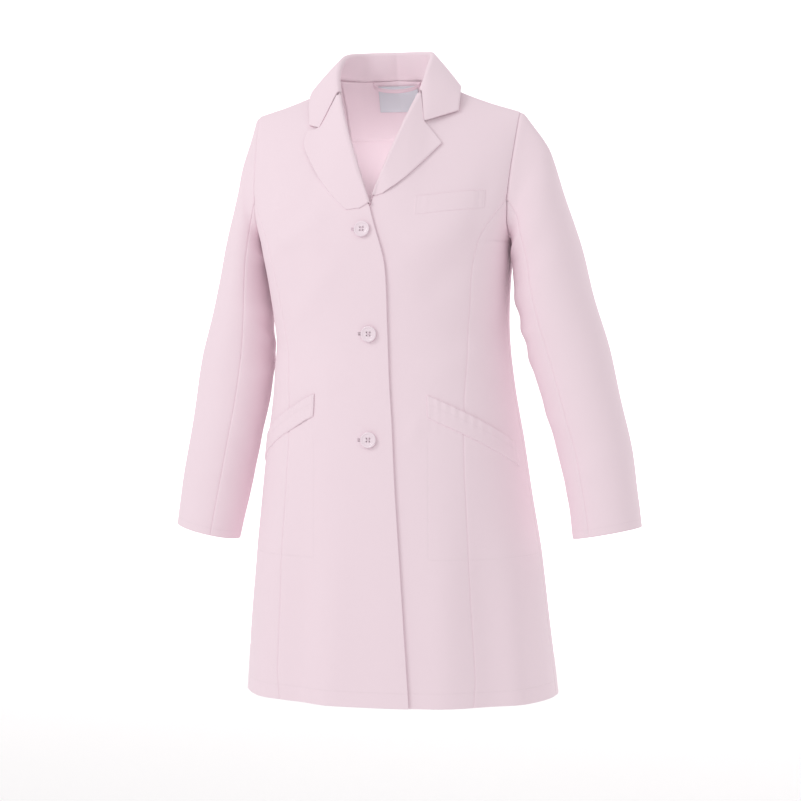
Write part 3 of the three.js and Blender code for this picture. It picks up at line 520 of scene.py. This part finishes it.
# %% [markdown]
# ## Fronts, sides and back
# Rows climb in fine steps, closer at the hem. Columns lie closer at the seams, where each panel
# dips to make the crease of the seam.

# %% Panels
def spaced(low, high, count, fine=()):
    return np.unique(np.round(np.concatenate([np.linspace(low, high, count), np.asarray(fine, float)]), 5))


ROWS = spaced(-BACK_LENGTH, ARMPIT, 126 // STEP, [-864.4, -863.6, -862, -846.8, -845, -843.2])
PARTS = np.unique(np.concatenate([np.linspace(0.0012, 0.985, 54 // STEP), [0.004, 0.01]]))[::-1]
SEAM_FINE = [0.004, 0.009, 0.016, 0.026, 0.04]
COLUMNS = spaced(0, 1, 40 // STEP, SEAM_FINE + [1 - v for v in SEAM_FINE])


def seam_dip(d):
    return -1.1 * np.exp(-np.abs(d) / 1.3)


def centre_panel(side, face, edge, seam, parts, top_of=None):
    xs, zs = [], []
    for z in ROWS:
        start = side * (float(edge(z)) - float(drift(z)))
        xs.append(mix(start, float(seam_limit(seam, z)), COLUMNS))
        zs.append(np.full(len(COLUMNS), z))
    for part in parts:
        start = crossing(lambda z: side * edge(z), part)
        x = mix(start, crossing(lambda z: seam_limit(seam, z), part), COLUMNS)
        xs.append(x)
        zs.append(top_of(x, part) if top_of else height_at(x, part))
    x, z = np.array(xs), np.array(zs)
    p, n = body(side, x, z, face)
    lift = lift_of(side, side * x, z) if face < 0 else 0
    to_seam, to_edge = x[:, -1:] - x, x - x[:, :1]
    to_seam = to_seam + 50 * (z > seam[-1][0] + 2)
    pocket = np.minimum(x - BAG_PRINT["x"], z - BAG_PRINT["z"])
    if face < 0:
        pocket = np.where(z < HIP_LEVEL, pocket, np.sign(pocket) * FAR_AWAY)
    else:
        pocket = FAR_AWAY
    grid = Grid(p, n, 0, CLOTH, edge_a=z + BACK_LENGTH - HEM_STITCH, edge_c=pocket,
                run_a=x, run_b=x + z)
    sewn = 0 if face < 0 else seam_dip(to_edge)
    return grid.shift(lift + drape(p) + seam_dip(to_seam) + sewn)


def side_panel(side, face, seam, parts):
    ps, ns = [], []
    for z in ROWS:
        a = angle_at(float(seam_limit(seam, z)), z)
        start = a if face < 0 else math.pi - a
        p, n = flank(side, mix(start, math.pi / 2, COLUMNS), z)
        ps.append(p)
        ns.append(n)
    for part in parts:
        if height_at(SHOULDER_X, part) >= seam[-1][0] + 2:
            continue
        start = crossing(lambda z: seam_limit(seam, z), part)
        stop = max(start + 0.05, crossing(lambda z: armhole_x(z) - CLOTH, part))
        x = mix(start, stop, COLUMNS)
        p, n = body(side, x, height_at(x, part), face)
        ps.append(p)
        ns.append(n)
    p, n = np.array(ps), np.array(ns)
    run, z = run_across(p), p[..., 2]
    pocket = z - BAG_PRINT["z"] if face < 0 else FAR_AWAY
    grid = Grid(p, n, 0, CLOTH, edge_a=z + BACK_LENGTH - HEM_STITCH, edge_c=pocket,
                run_a=run, run_b=run)
    below = ease((ARMPIT + 12 - z) / 20)
    return grid.shift(drape(p) + seam_dip(run) + seam_dip(run[:, -1:] - run) * below)


def neckline(x):
    return mix(0, float(shoulder(NECK_X)), ease(np.abs(x) / NECK_X))


def back_top(x, part):
    top = np.where(np.abs(x) < NECK_X, part_at(x, neckline(x)), PARTS[-1])
    return height_at(x, top + (1 - top) * (part - PARTS[-1]) / (1 - PARTS[-1]))


def centre_back_edge(z):
    return 0.0


for word, side in (("left", 1), ("right", -1)):
    cloth(f"center_front_cloth_{word}",
          centre_panel(side, -1, lambda z: front_edge(side, z), FRONT_SEAM, PARTS),
          f"center_front_{word}", SHELL)
    cloth(f"side_front_cloth_{word}", side_panel(side, -1, FRONT_SEAM, PARTS),
          f"side_front_{word}", SHELL)
    cloth(f"center_back_cloth_{word}",
          centre_panel(side, 1, centre_back_edge, BACK_SEAM, PARTS, back_top),
          f"center_back_{word}", SHELL)
    cloth(f"side_back_cloth_{word}", side_panel(side, 1, BACK_SEAM, PARTS),
          f"side_back_{word}", SHELL)

# %% [markdown]
# ## Facings and lapels
# Each facing lies inside its front. Its top rolls over the break and lies back as the lapel.

# %% Facings and lapels
FACING_LOW, FACING_HIGH = -(LAYER_GAP + CLOTH), -LAYER_GAP


def facing_strip(side):
    across = np.linspace(0, FACING_WIDTH, 20 // STEP)
    rows = []
    for z in ROWS:
        edge = side * (float(front_edge(side, z)) - float(drift(z)))
        rows.append((edge + across, np.full(len(across), z)))
    for part in PARTS[PARTS > 0.13]:
        x = crossing(lambda z: side * front_edge(side, z), part) + across
        rows.append((x, height_at(x, part)))
    x, z = np.array([r[0] for r in rows]), np.array([r[1] for r in rows])
    p, n = body(side, x, z, -1)
    return Grid(p, n, FACING_LOW, FACING_HIGH).shift(lift_of(side, side * x, z) + drape(p))


def lapel(side):
    notch = NOTCH[side]
    line = [q for q in reversed(notch["edge"])] + [notch["tip"]]
    keys = [(k / (len(line) - 1), q) for k, q in enumerate(line)]
    under = (FACING_LOW + FACING_HIGH) / 2
    rows_p, rows_n, rows_out = [], [], []
    for t in np.linspace(0, 1, 70 // STEP):
        z0 = mix(notch["low"], GORGE[1] - 3, t)
        x0 = side * float(roll_x(side, z0))
        outer = through(keys, t)
        outer = mix(np.array([x0, z0]), outer, 0.5 + 0.5 * float(ease(t / 0.05)))
        proud = mix(CLOTH + 0.7, LAPEL_OFFSET, float(ease(t / 0.3)))
        bend = ease((t - 0.5) / 0.5) * ease(t * t)
        inner = mix(mix(np.array([x0, z0]), outer, 0.4),
                    np.array(notch["inner"]) - np.array([0, 1.2]), bend)
        lift = float(lift_of(side, side * x0, z0))
        base, out = body(side, x0, z0, -1)
        inward = np.array([-side, 0.0, 0.0])
        roll = 2.4 * (1 - ease(t)) + 0.9
        radius = (LAPEL_OFFSET + roll * 0.5 - under) / 2
        p, n, outs = [], [], []
        for s in (-6, -3, -0.8):
            p.append(base + out * (under + lift) + inward * s)
            n.append(-out)
        for deg in np.linspace(-70, 70, 11):
            a = math.radians(deg)
            n.append(unit(out * math.sin(a) + inward * math.cos(a)))
            p.append(base + out * ((under + LAPEL_OFFSET + roll * 0.5) / 2 + radius * math.sin(a) + lift)
                     + inward * (radius * math.cos(a) - 0.8))
        far = [0.03, 0.08, 0.15, 0.25, 0.36, 0.48, 0.6, 0.72, 0.84, 0.93, 1.0]
        path = [mix(np.array([x0 + 1.5, z0]), inner, f) for f in far]
        path += [mix(inner, outer, f) for f in far]
        whole = math.hypot(*(outer - np.array([x0, z0])))
        for q in path:
            d = math.hypot(*(q - np.array([x0, z0])))
            pp, nn = body(side, float(q[0]), float(q[1]), -1)
            soft = roll * math.exp(-d / 16) * 1.2 + 0.5 * math.sin(math.pi * min(1, d / max(whole, 1)))
            p.append(pp + nn * (proud + lift + soft * float(ease(t / 0.3))))
            n.append(nn)
            outs.append(nn)
        outs = [out] * (len(p) - len(outs)) + outs
        rows_p.append(p)
        rows_n.append(n)
        rows_out.append(outs)
    p, n, outs = np.array(rows_p), np.array(rows_n), np.array(rows_out)
    return Grid(p + outs * drape(p)[..., None], n, -CLOTH / 2, CLOTH / 2)


for word, side in (("left", 1), ("right", -1)):
    cloth(f"facing_and_lapel_{word}", [facing_strip(side), lapel(side)], f"front_facing_{word}", SHELL)


def back_facing():
    x = np.linspace(-0.96 * NECK_X, 0.96 * NECK_X, 60 // STEP)
    parts = PARTS[PARTS <= 0.36]
    z = np.array([back_top(x, part) for part in parts])
    x = np.broadcast_to(x, z.shape)
    p, n = body(1, x, z, 1)
    hem = z - z[:1]
    return Grid(p, n, FACING_LOW, FACING_HIGH, edge_a=hem - 3, run_a=x)


cloth("back_neck_facing_cloth", back_facing(), "back_neck_facing", SHELL)

# %% [markdown]
# ## Collar
# The stand rises from the neck seam, turns over in a soft roll and falls to the collar edge.

# %% Collar
def on_front(x, z, off):
    p, n = body(1, float(x), float(z), -1)
    return p + n * off


def collar_lines(s, notch):
    gorge = on_front(GORGE[0] + 1, GORGE[1] + 1.5, 1.5)
    corner = on_front(*notch["corner"], LAPEL_OFFSET)

    def back(x):
        z = float(neckline(x))
        return np.array([x, MIDDLE_Y + float(depth(x, z, 1)) + CLOTH / 2, z + 1])

    fold = [gorge, (66, -84, 8), (64, -52, 31), (42, -18, STAND - 1), (0, -8, STAND)]
    edge = [corner, (109, -74, -27), (101, -50, -13), (64, -2, -12), (0, 10, -11)]
    neck = [gorge + np.array([0, 1.2, -4]), (72, -74, -7), (NECK_X, MIDDLE_Y, 0),
            back(53), back(0)]
    line = lambda pts: through([(k / 4, tuple(q)) for k, q in enumerate(pts)], s)
    return line(neck), line(fold), line(edge), on_front(*notch["inner"], LAPEL_OFFSET)


def collar_row(s, notch):
    neck, fold, edge, inner = collar_lines(s, notch)
    outward = unit(np.array([fold[0] * 0.9, fold[1] - MIDDLE_Y - 15, 0]))
    up = np.array([0.0, 0.0, 1.0])
    r = COLLAR_FOLD_R
    height = min(r, fold[2] - neck[2] - 1)
    centre = fold - up * height
    path = [mix(neck, centre - outward * r, f) for f in np.linspace(0, 1, 9)[:-1]]
    reach = edge - centre
    stop = math.degrees(math.atan2(max(0.0, float(-reach @ up)), max(0.1, float(reach @ outward))))
    for deg in np.linspace(-90, min(90, max(20, stop)), 13):
        a = math.radians(deg)
        path.append(centre + up * height * math.cos(a) + outward * r * math.sin(a))
    last, bend = path[-1], 1 - float(ease(s / 0.3))
    for f in [0.03, 0.08, 0.14, 0.2, 0.27, 0.35, 0.43, 0.52, 0.61, 0.7, 0.79, 0.88, 0.95, 1.0]:
        via = mix(last, inner, f / 0.35) if f <= 0.35 else mix(inner, edge, (f - 0.35) / 0.65)
        crown = outward * 1.6 * math.sin(math.pi * f) * float(ease(s * 5))
        path.append(mix(mix(last, edge, f), via, bend) + crown)
    return np.array(path)


def collar(low, high):
    steps = np.linspace(0, 1, 60 // STEP)
    left = [collar_row(s, NOTCH[1]) for s in steps]
    right = [collar_row(s, NOTCH[-1]) * np.array([-1, 1, 1]) for s in steps[:-1]]
    p = np.array(left + right[::-1])
    n = unit(np.cross(np.gradient(p, axis=0), np.gradient(p, axis=1)))
    if n[len(p) // 2, 14, 2] < 0:
        n = -n
    return Grid(p, n, low, high)


cloth("under_collar_cloth", collar(-CLOTH / 2, CLOTH / 2), "under_collar", SHELL)
cloth("top_collar_cloth", collar(CLOTH / 2 + 0.3, 1.5 * CLOTH + 0.7), "top_collar", SHELL)

# %% [markdown]
# ## Sleeves
# Each sleeve is an upper and an under piece round one tube, with a soft roll at its head, creases
# inside the elbow and a turned hem.

# %% Sleeves
def length_along(points, share):
    points = np.array(points, float)
    run = np.concatenate([[0], np.cumsum(np.linalg.norm(np.diff(points, axis=0), axis=1))])
    at = np.clip(share, 0, 1) * run[-1]
    keys = [(float(r / run[-1]), tuple(q)) for r, q in zip(run, points)]
    straight = np.stack([np.interp(at, run, points[:, 0]), np.interp(at, run, points[:, 1])], -1)
    return mix(straight, through(keys, np.clip(share, 0, 1)), 0.7)


def sleeve_point(shape, s, angle):
    outer = length_along(shape["outer"], s)
    inner = length_along(shape["inner"], through(SLEEVE_LAG, s))
    k = (1 + np.cos(angle)) / 2
    x = mix(inner[..., 0], outer[..., 0], k) + 1.0 - 3.4 * np.exp(-SLEEVE_RUN * s / 2.5)
    z = mix(inner[..., 1], outer[..., 1], k)
    round_ = through(SLEEVE_HALF_DEPTH, s) * np.sin(angle) + through(SLEEVE_FORWARD, s)
    hole_z = mix(ARMPIT, SHOULDER_Z, k)
    hole_x = armhole_x(hole_z)
    hole = np.where(np.sin(angle) > 0, depth(hole_x, hole_z, -1), -depth(hole_x, hole_z, 1))
    return xyz(x, MIDDLE_Y - mix(hole, round_, ease(s / 0.28)), z)


ELBOW = {
    1: [(0.40, 175, 0.022, 40, 3.0, 0.5), (0.47, 165, 0.02, 45, 3.4, -0.4), (0.55, 180, 0.022, 40, 2.6, 0.6),
        (0.22, 150, 0.035, 40, 3.0, 0.9), (0.15, 60, 0.04, 40, 2.2, -0.9), (0.70, 150, 0.03, 50, 2.0, -0.7),
        (0.30, 90, 0.05, 50, -2.4, 1.0), (0.86, 120, 0.03, 50, 1.6, 0.6)],
    -1: [(0.42, 160, 0.022, 45, 3.6, -0.5), (0.49, 175, 0.02, 40, 3.4, 0.5), (0.57, 165, 0.024, 45, 2.8, -0.7),
         (0.24, 150, 0.035, 40, 3.0, -0.9), (0.14, 50, 0.04, 45, 2.4, 0.9), (0.72, 140, 0.03, 55, 2.2, 0.8),
         (0.33, 80, 0.05, 55, -2.6, -1.0), (0.84, 110, 0.03, 50, 1.6, -0.6)],
}


def sleeve_creases(side, s, deg):
    total = 1.2 * np.sin(s * 17 + side) * np.sin(np.radians(deg) * 2 + s * 9)
    for at, round_at, width, spread, height, slant in ELBOW[side]:
        d = (deg - round_at + 180) % 360 - 180
        total = total + height * bell(s - at - slant * d / 1000, width) * bell(d, spread)
    return total * ease(s / 0.1) * (1 - 0.6 * ease((s - 0.9) / 0.1))


def sleeve_piece(side, start, stop):
    shape = SLEEVE[side]
    ends = [0.003, 0.007, 0.012, 0.018, 0.026, 0.979, 0.982, 0.985, 0.998]
    s = spaced(0, 1, 130 // STEP, ends)[:, None]
    fine = np.array(SEAM_FINE) * 0.6
    deg = mix(start, stop, spaced(0, 1, 48 // STEP, list(fine) + list(1 - fine)))[None, :]
    angle = np.radians(deg)
    s, deg, angle = np.broadcast_arrays(s, deg, angle)
    a = (sleeve_point(shape, np.minimum(1, s + 0.006), angle)
         - sleeve_point(shape, np.maximum(0, s - 0.006), angle))
    b = sleeve_point(shape, s, angle + 0.03) - sleeve_point(shape, s, angle - 0.03)
    n = unit(np.cross(b, a))
    p = sleeve_point(shape, s, angle)
    centre = p.mean(axis=1, keepdims=True)
    if start < 0 < stop and (n * (p - centre)).sum(-1).mean() < 0:
        n = -n
    if not start < 0 < stop and n[..., 0].mean() > 0:
        n = -n
    long = SLEEVE_RUN * s
    run = run_across(p)
    head = 0.35 + 0.65 * np.maximum(0, np.cos(angle))
    roll = 2.2 * (1 - np.exp(-long / 3.0)) * np.exp(-long / 22) * head
    tuck = -1.1 * np.exp(-long / 2.0)
    p, n = p.copy(), n.copy()
    p[..., 0] *= side
    n[..., 0] *= side
    grid = Grid(p, n, 0, CLOTH, edge_a=SLEEVE_RUN * (1 - s) - CUFF_STITCH, run_a=run, run_b=long)
    seams = seam_dip(run) + seam_dip(run[:, -1:] - run)
    return grid.shift(sleeve_creases(side, s, deg) + roll + tuck + seams)


for word, side in (("left", 1), ("right", -1)):
    cloth(f"upper_sleeve_cloth_{word}", sleeve_piece(side, SLEEVE_BACK_SEAM - 360, SLEEVE_FRONT_SEAM),
          f"upper_sleeve_{word}", SHELL, follows=f"{word}_sleeve")
    cloth(f"under_sleeve_cloth_{word}", sleeve_piece(side, SLEEVE_FRONT_SEAM, SLEEVE_BACK_SEAM),
          f"under_sleeve_{word}", SHELL, follows=f"{word}_sleeve")

# %% [markdown]
# ## Pockets
# The chest welt and the slanted hip welts lie on the fronts, and stitches at their ends hold them
# down. The bags hang flat inside.

# %% Pockets
def shares(across, up):
    return np.linspace(0, 1, across // STEP)[None, :], np.linspace(0, 1, up // STEP)[:, None]


def chest_grid(x_span, z_of, span):
    f, r = shares(70, 26)
    x = mix(x_span[0], x_span[1], f) + 0 * r
    up = mix(span[0], span[1], r) + 0 * f
    z = z_of(f) + up
    p, n = body(1, x, z, -1)
    return x, up, z, p, n


def hip_grid(side, span_x, z_of, span):
    f, r = shares(90, 30)
    angle = lambda v: float(angle_at(v, HIP_LEVEL))
    up = mix(span[0], span[1], r) + 0 * f
    z = z_of(f) + up
    p, n = flank(side, mix(angle(span_x[0]), angle(span_x[1]), f) + 0 * r, z)
    return run_across(p), up, z, p, n


def welt_shape(run, up, height):
    """A welt lies a layer proud, puckers at its sewn ends and stands off a little at its mouth."""
    whole = run[:, -1:]
    ends = bell(run, 6) + bell(whole - run, 6)
    pucker = 0.3 * np.sin(run / 1.9) * (bell(run - 12, 12) + bell(whole - run - 9, 9))
    mouth = 0.9 * ease((up / height + 0.1) / 0.6) * np.sin(math.pi * run / whole)
    rim = -0.8 * np.exp(-np.abs(up + height / 2) / 0.9)
    return pucker + mouth - 0.7 * ends + rim


ON_TOP = CLOTH + 0.35
hip_line = lambda f: mix(*WELT["z"], f)
chest_line = lambda f: mix(*CHEST["z"], f)
for word, side in (("left", 1), ("right", -1)):
    h = WELT["height"]
    run, up, z, p, n = hip_grid(side, WELT["across"], hip_line, (-h / 2, h / 2))
    grid = Grid(p, n, ON_TOP, ON_TOP + 1.5 * CLOTH, edge_a=run - 3.2,
                edge_b=run[:, -1:] - run - 3.2, edge_c=up - h / 2 + 12, run_a=up, run_b=up)
    grid.shift(lift_of(side, p[..., 0], z) + drape(p) + welt_shape(run, up, h))
    cloth(f"hip_welt_cloth_{word}", grid, f"hip_welt_{word}", SHELL)
h = CHEST["height"]
run, up, z, p, n = chest_grid(CHEST["x"], chest_line, (-h / 2, h / 2))
run = run - run[:, :1]
grid = Grid(p, n, CLOTH + 0.05, CLOTH + 0.75, edge_a=run[:, -1:] - run - 2.5,
            edge_b=run[:, -1:] - run - 8.5, edge_c=run - 2.5, run_a=up, run_b=up)
cloth("chest_welt_cloth", grid.shift(drape(p) + 0.6 * welt_shape(run, up, h)), "chest_welt", SHELL)


def bag(name, node, make, side):
    grids = []
    for low in BAG_LAYERS:
        run, up, z, p, n = make()
        grid = Grid(p, n, low - CLOTH, low)
        grids.append(grid.shift(lift_of(side, p[..., 0], z) + drape(p)))
    cloth(name, grids, node, LINING)


bag("chest_bag_cloth", "chest_pocket_bag",
    lambda: chest_grid(CHEST_BAG["x"], chest_line, (-CHEST_BAG["depth"], 0)), 1)
for word, side in (("left", 1), ("right", -1)):
    bag(f"hip_bag_cloth_{word}", f"hip_pocket_bag_{word}",
        lambda: hip_grid(side, HIP_BAG["across"], hip_line, (-HIP_BAG["depth"], 0)), side)

# %% [markdown]
# ## Label and hanger loop

# %% Label and loop
half = LABEL["wide"] / 2
x, z = np.meshgrid(np.linspace(-half, half, 60 // STEP),
                   LABEL["top"] - np.linspace(0, LABEL["high"], 36 // STEP))
p, n = body(1, x, z, 1)
low = FACING_LOW - LABEL["off"]
rise = 0.4 * np.sin(x / 9) * bell(z + 25, 14)
grid = Grid(p, n, low - LABEL["thick"] + rise, low + rise,
            edge_a=half - np.abs(x) - 1.5, run_a=z)
cloth("neck_label_cloth", grid, "neck_label", LABEL_MAT)

a = np.linspace(0, math.pi, 60 // STEP)
across = -LOOP["half"] * np.cos(a)
wall, _ = body(1, across, np.full(len(a), float(LOOP["roots"])), 1)
line = np.stack([across, wall[:, 1] + FACING_LOW - LOOP["off"] - LOOP["reach"] * np.sin(a),
                 LOOP["roots"] - LOOP["sag"] * np.sin(a)], -1)
down = np.linspace(0, LOOP["tape"], 6)
p = np.stack([line - np.array([0, 0, d]) for d in down], 0)
n = np.broadcast_to(np.array([0.0, -1.0, 0.0]), p.shape)
grid = Grid(p, n, 0, LOOP["thick"], edge_a=down[:, None] - 1, run_a=line[:, 0])
cloth("hanger_loop_tape", grid, "hanger_loop", TAPE, rides="hanger_loop", free=False)

# %% [markdown]
# ## Buttons
# Each button is a turned disc with a raised rim and four holes, sewn with two bars of thread.
# A stitched buttonhole runs from it towards the wearer's right.

# %% Buttons
def obj_from(name, points, faces, mat, smooth=True):
    mesh = bpy.data.meshes.new(name)
    mesh.from_pydata((np.asarray(points) / 1000).tolist(), [], faces)
    mesh.polygons.foreach_set("use_smooth", [smooth] * len(mesh.polygons))
    mesh.materials.append(mat)
    made = bpy.data.objects.new(name, mesh)
    bpy.context.scene.collection.objects.link(made)
    return made


def lathe(profile, sides=72):
    profile = np.array(profile, float)
    turn = np.linspace(0, 2 * math.pi, sides, endpoint=False)
    ring = profile[1:-1]
    points = [(0, 0, profile[0][1])]
    points += [(r * math.cos(a), r * math.sin(a), z) for r, z in ring for a in turn]
    points.append((0, 0, profile[-1][1]))
    end, faces = len(points) - 1, []
    for k in range(sides):
        nxt = (k + 1) % sides
        faces.append((0, 1 + nxt, 1 + k))
        for j in range(len(ring) - 1):
            a, b = 1 + j * sides, 1 + (j + 1) * sides
            faces.append((a + k, a + nxt, b + nxt, b + k))
        a = 1 + (len(ring) - 1) * sides
        faces.append((a + k, a + nxt, end))
    return points, faces


def tube(path, radius, sides=10):
    """A closed tube round a path of points, with rounded ends."""
    path = np.asarray(path, float)
    along = unit(np.gradient(path, axis=0))
    guide = np.array([0.0, 0.0, 1.0]) if abs(along[0][2]) < 0.9 else np.array([0.0, 1.0, 0.0])
    one = unit(np.cross(along, guide))
    two = np.cross(along, one)
    size = np.full(len(path), radius)
    size[0] = size[-1] = radius * 0.45
    points, faces = [], []
    for k in range(len(path)):
        for j in range(sides):
            a = 2 * math.pi * j / sides
            points.append(path[k] + (one[k] * math.cos(a) + two[k] * math.sin(a)) * size[k])
    for k in range(len(path) - 1):
        for j in range(sides):
            m = (j + 1) % sides
            faces.append((k * sides + j, k * sides + m, (k + 1) * sides + m, (k + 1) * sides + j))
    faces.append(tuple(range(sides))[::-1])
    faces.append(tuple((len(path) - 1) * sides + j for j in range(sides)))
    return points, faces


def joined(parts):
    points, faces = [], []
    for p, f in parts:
        faces += [tuple(k + len(points) for k in face) for face in f]
        points += [tuple(q) for q in p]
    return points, faces


DISH = BUTTON_THICK - 0.95
RIM = [(1.4, 0), (0.6, 0.25), (0.1, 0.8), (0, 1.5), (0.1, 2.3), (0.6, 2.85), (1.3, BUTTON_THICK),
       (2.0, 2.9), (2.6, 2.5), (3.2, 2.15), (4.5, DISH)]
PROFILE = [(0, 0)] + [(BUTTON_R - inset, up) for inset, up in RIM] + [(3, DISH), (0, DISH)]
WORD = ("top", "middle", "low")
for k, (bx, bz) in enumerate(BUTTONS):
    spot, n = body(1, bx - float(drift(bz)), float(bz), -1)
    back = float(lift_of(-1, bx, bz)) + CLOTH + BUTTON_GAP
    z_axis = n
    x_axis = unit(np.cross(np.array([0.0, 0.0, 1.0]), z_axis))
    if x_axis[0] < 0:
        x_axis = -x_axis
    y_axis = np.cross(z_axis, x_axis)
    turn = np.stack([x_axis, y_axis, z_axis], 1)
    raise_by = float(drape(spot[None, :])[0])
    centre = spot + n * (back + raise_by * 0.9)
    world = lambda pts: np.asarray(pts, float) @ turn.T + centre
    points, faces = lathe(PROFILE)
    button = obj_from(f"button_disc_{k + 1}", world(points), faces, BUTTON_MAT)
    drills = []
    for sx in (-1, 1):
        for sy in (-1, 1):
            ring = [(sx * HOLE_AT + HOLE_R * math.cos(a), sy * HOLE_AT + HOLE_R * math.sin(a), z)
                    for z in (-2, 5) for a in np.linspace(0, 2 * math.pi, 20, endpoint=False)]
            sides = [(j, (j + 1) % 20, 20 + (j + 1) % 20, 20 + j) for j in range(20)]
            drills.append((ring, sides + [tuple(range(20))[::-1], tuple(range(20, 40))]))
    drill = obj_from(f"drill_{k + 1}", world(joined(drills)[0]), joined(drills)[1], BUTTON_MAT)
    carve = button.modifiers.new("holes", "BOOLEAN")
    carve.operation, carve.object, carve.solver = "DIFFERENCE", drill, "EXACT"
    bpy.context.view_layer.update()
    made = bpy.data.meshes.new_from_object(button.evaluated_get(bpy.context.evaluated_depsgraph_get()))
    button.modifiers.clear()
    button.data = made
    bpy.data.objects.remove(drill)
    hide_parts(f"button_{k + 1}")
    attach(button, f"button_{WORD[k]}")
    strands = []
    for sy in (-1, 1):
        for d in (-0.42, 0.0, 0.42):
            arc = [(HOLE_AT * math.cos(a) * 1.02, sy * HOLE_AT + d, 0.9 + 1.75 * math.sin(a))
                   for a in np.linspace(0, math.pi, 13)]
            feet = [(sx * HOLE_AT * 1.02, sy * HOLE_AT + d, -1.2) for sx in (1, -1)]
            arc = feet[:1] + arc + feet[1:]
            strands.append(tube(arc, 0.27))
    shank = [(0.9 * math.cos(a), 0.9 * math.sin(a), -0.2 - 1.5 * t) for t, a in
             zip(np.linspace(0, 1, 40), np.linspace(0, 12 * math.pi, 40))]
    strands.append(tube(shank, 0.35))
    points, faces = joined(strands)
    thread = obj_from(f"button_stitches_{k + 1}", world(points), faces, THREAD_MAT)
    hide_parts(f"button_thread_{k + 1}")
    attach(thread, f"button_{WORD[k]}")
    marks = []
    face_at = lambda px, py: body(1, bx + px - float(drift(bz)), bz + py, -1)
    for edge in (-1, 1):
        for u in np.arange(-15.5, 2.5, 0.55):
            a0, nn = face_at(u, edge * 0.5)
            a1, _ = face_at(u, edge * 2.1)
            off = float(lift_of(-1, bx + u, bz)) + CLOTH + float(drape(a0[None, :])[0])
            low, high = nn * (off - 0.1), nn * (off + 0.1)
            marks.append(tube([a0 + low, a0 + high, a1 + high, a1 + low], 0.28, 6))
    points, faces = joined(marks)
    hole = obj_from(f"buttonhole_stitches_{k + 1}", points, faces, THREAD_MAT)
    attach(hole, "coat_body")
print("buttons sewn on")

# %% [markdown]
# ## Pieces by name
# The loop goes through the pieces by name and does nothing with them.

# %% Pieces by name
LINED = ("facing", "back_neck", "under_collar", "bag")
for name, piece in PIECES.items():
    if any(word in name for word in LINED):
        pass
    elif "label" in name:
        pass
    elif "loop" in name:
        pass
    else:
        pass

# %% [markdown]
# ## Stage, light and camera

# %% Stage
def plane(name, corners, rgb):
    mat, _, shader = material(name, rgb, 0.9)
    made = obj_from(name, np.array(corners) * 1000, [(0, 1, 2, 3)], mat, smooth=False)
    return made


ROOM, FLOOR, WALL_Y, WALL_TOP, NEAR_WHITE = 9, -1.9, 7, 6, (252, 251, 251)
plane("floor", [(x, y, FLOOR) for x, y in
                ((-ROOM, -ROOM), (ROOM, -ROOM), (ROOM, ROOM), (-ROOM, ROOM))], NEAR_WHITE)
wall = plane("wall", [(x, WALL_Y, z) for x, z in
                      ((-ROOM, FLOOR), (ROOM, FLOOR), (ROOM, WALL_TOP), (-ROOM, WALL_TOP))],
             NEAR_WHITE)
glow = wall.data.materials[0].node_tree.nodes["Principled BSDF"]
glow.inputs["Emission Color"].default_value = (1.0, 1.0, 1.0, 1.0)
glow.inputs["Emission Strength"].default_value = 0.75
world = bpy.data.worlds.new("studio")
world.use_nodes = True
world.node_tree.nodes["Background"].inputs["Color"].default_value = (1.0, 0.99, 0.995, 1.0)
world.node_tree.nodes["Background"].inputs["Strength"].default_value = 0.72
bpy.context.scene.world = world


def lamp(name, at, aim, size, power):
    data = bpy.data.lights.new(name, "AREA")
    data.shape, data.size, data.energy = "SQUARE", size, power
    made = bpy.data.objects.new(name, data)
    made.location = at
    away = np.array(at) - np.array(aim)
    tilt = math.acos(away[2] / np.linalg.norm(away))
    made.rotation_euler = (tilt, 0, math.atan2(away[0], -away[1]))
    bpy.context.scene.collection.objects.link(made)


lamp("key", (-1.9, -2.3, 1.5), (0, 0, -0.4), 1.3, 27)
lamp("fill", (2.6, -2.2, 0.4), (0, 0, -0.4), 2.4, 3)
lamp("neck_light", (-0.01, -0.045, -0.15), (0, 0.05, -0.02), 0.06, 0.07)
bpy.context.scene.view_settings.view_transform = "Standard"

CAMERA_TURN, CAMERA_FAR, CAMERA_Z = math.radians(15.5), 3.5, -0.3
camera = bpy.data.objects.new("camera", bpy.data.cameras.new("camera"))
camera.location = (CAMERA_FAR * math.sin(CAMERA_TURN), -CAMERA_FAR * math.cos(CAMERA_TURN), CAMERA_Z)
camera.rotation_euler = (math.pi / 2, 0, CAMERA_TURN)
camera.data.sensor_width = 36
camera.data.lens = 109.2
camera.data.shift_x, camera.data.shift_y = 0.002, -0.139
camera.data.clip_end = 50
bpy.context.scene.collection.objects.link(camera)
bpy.context.scene.camera = camera
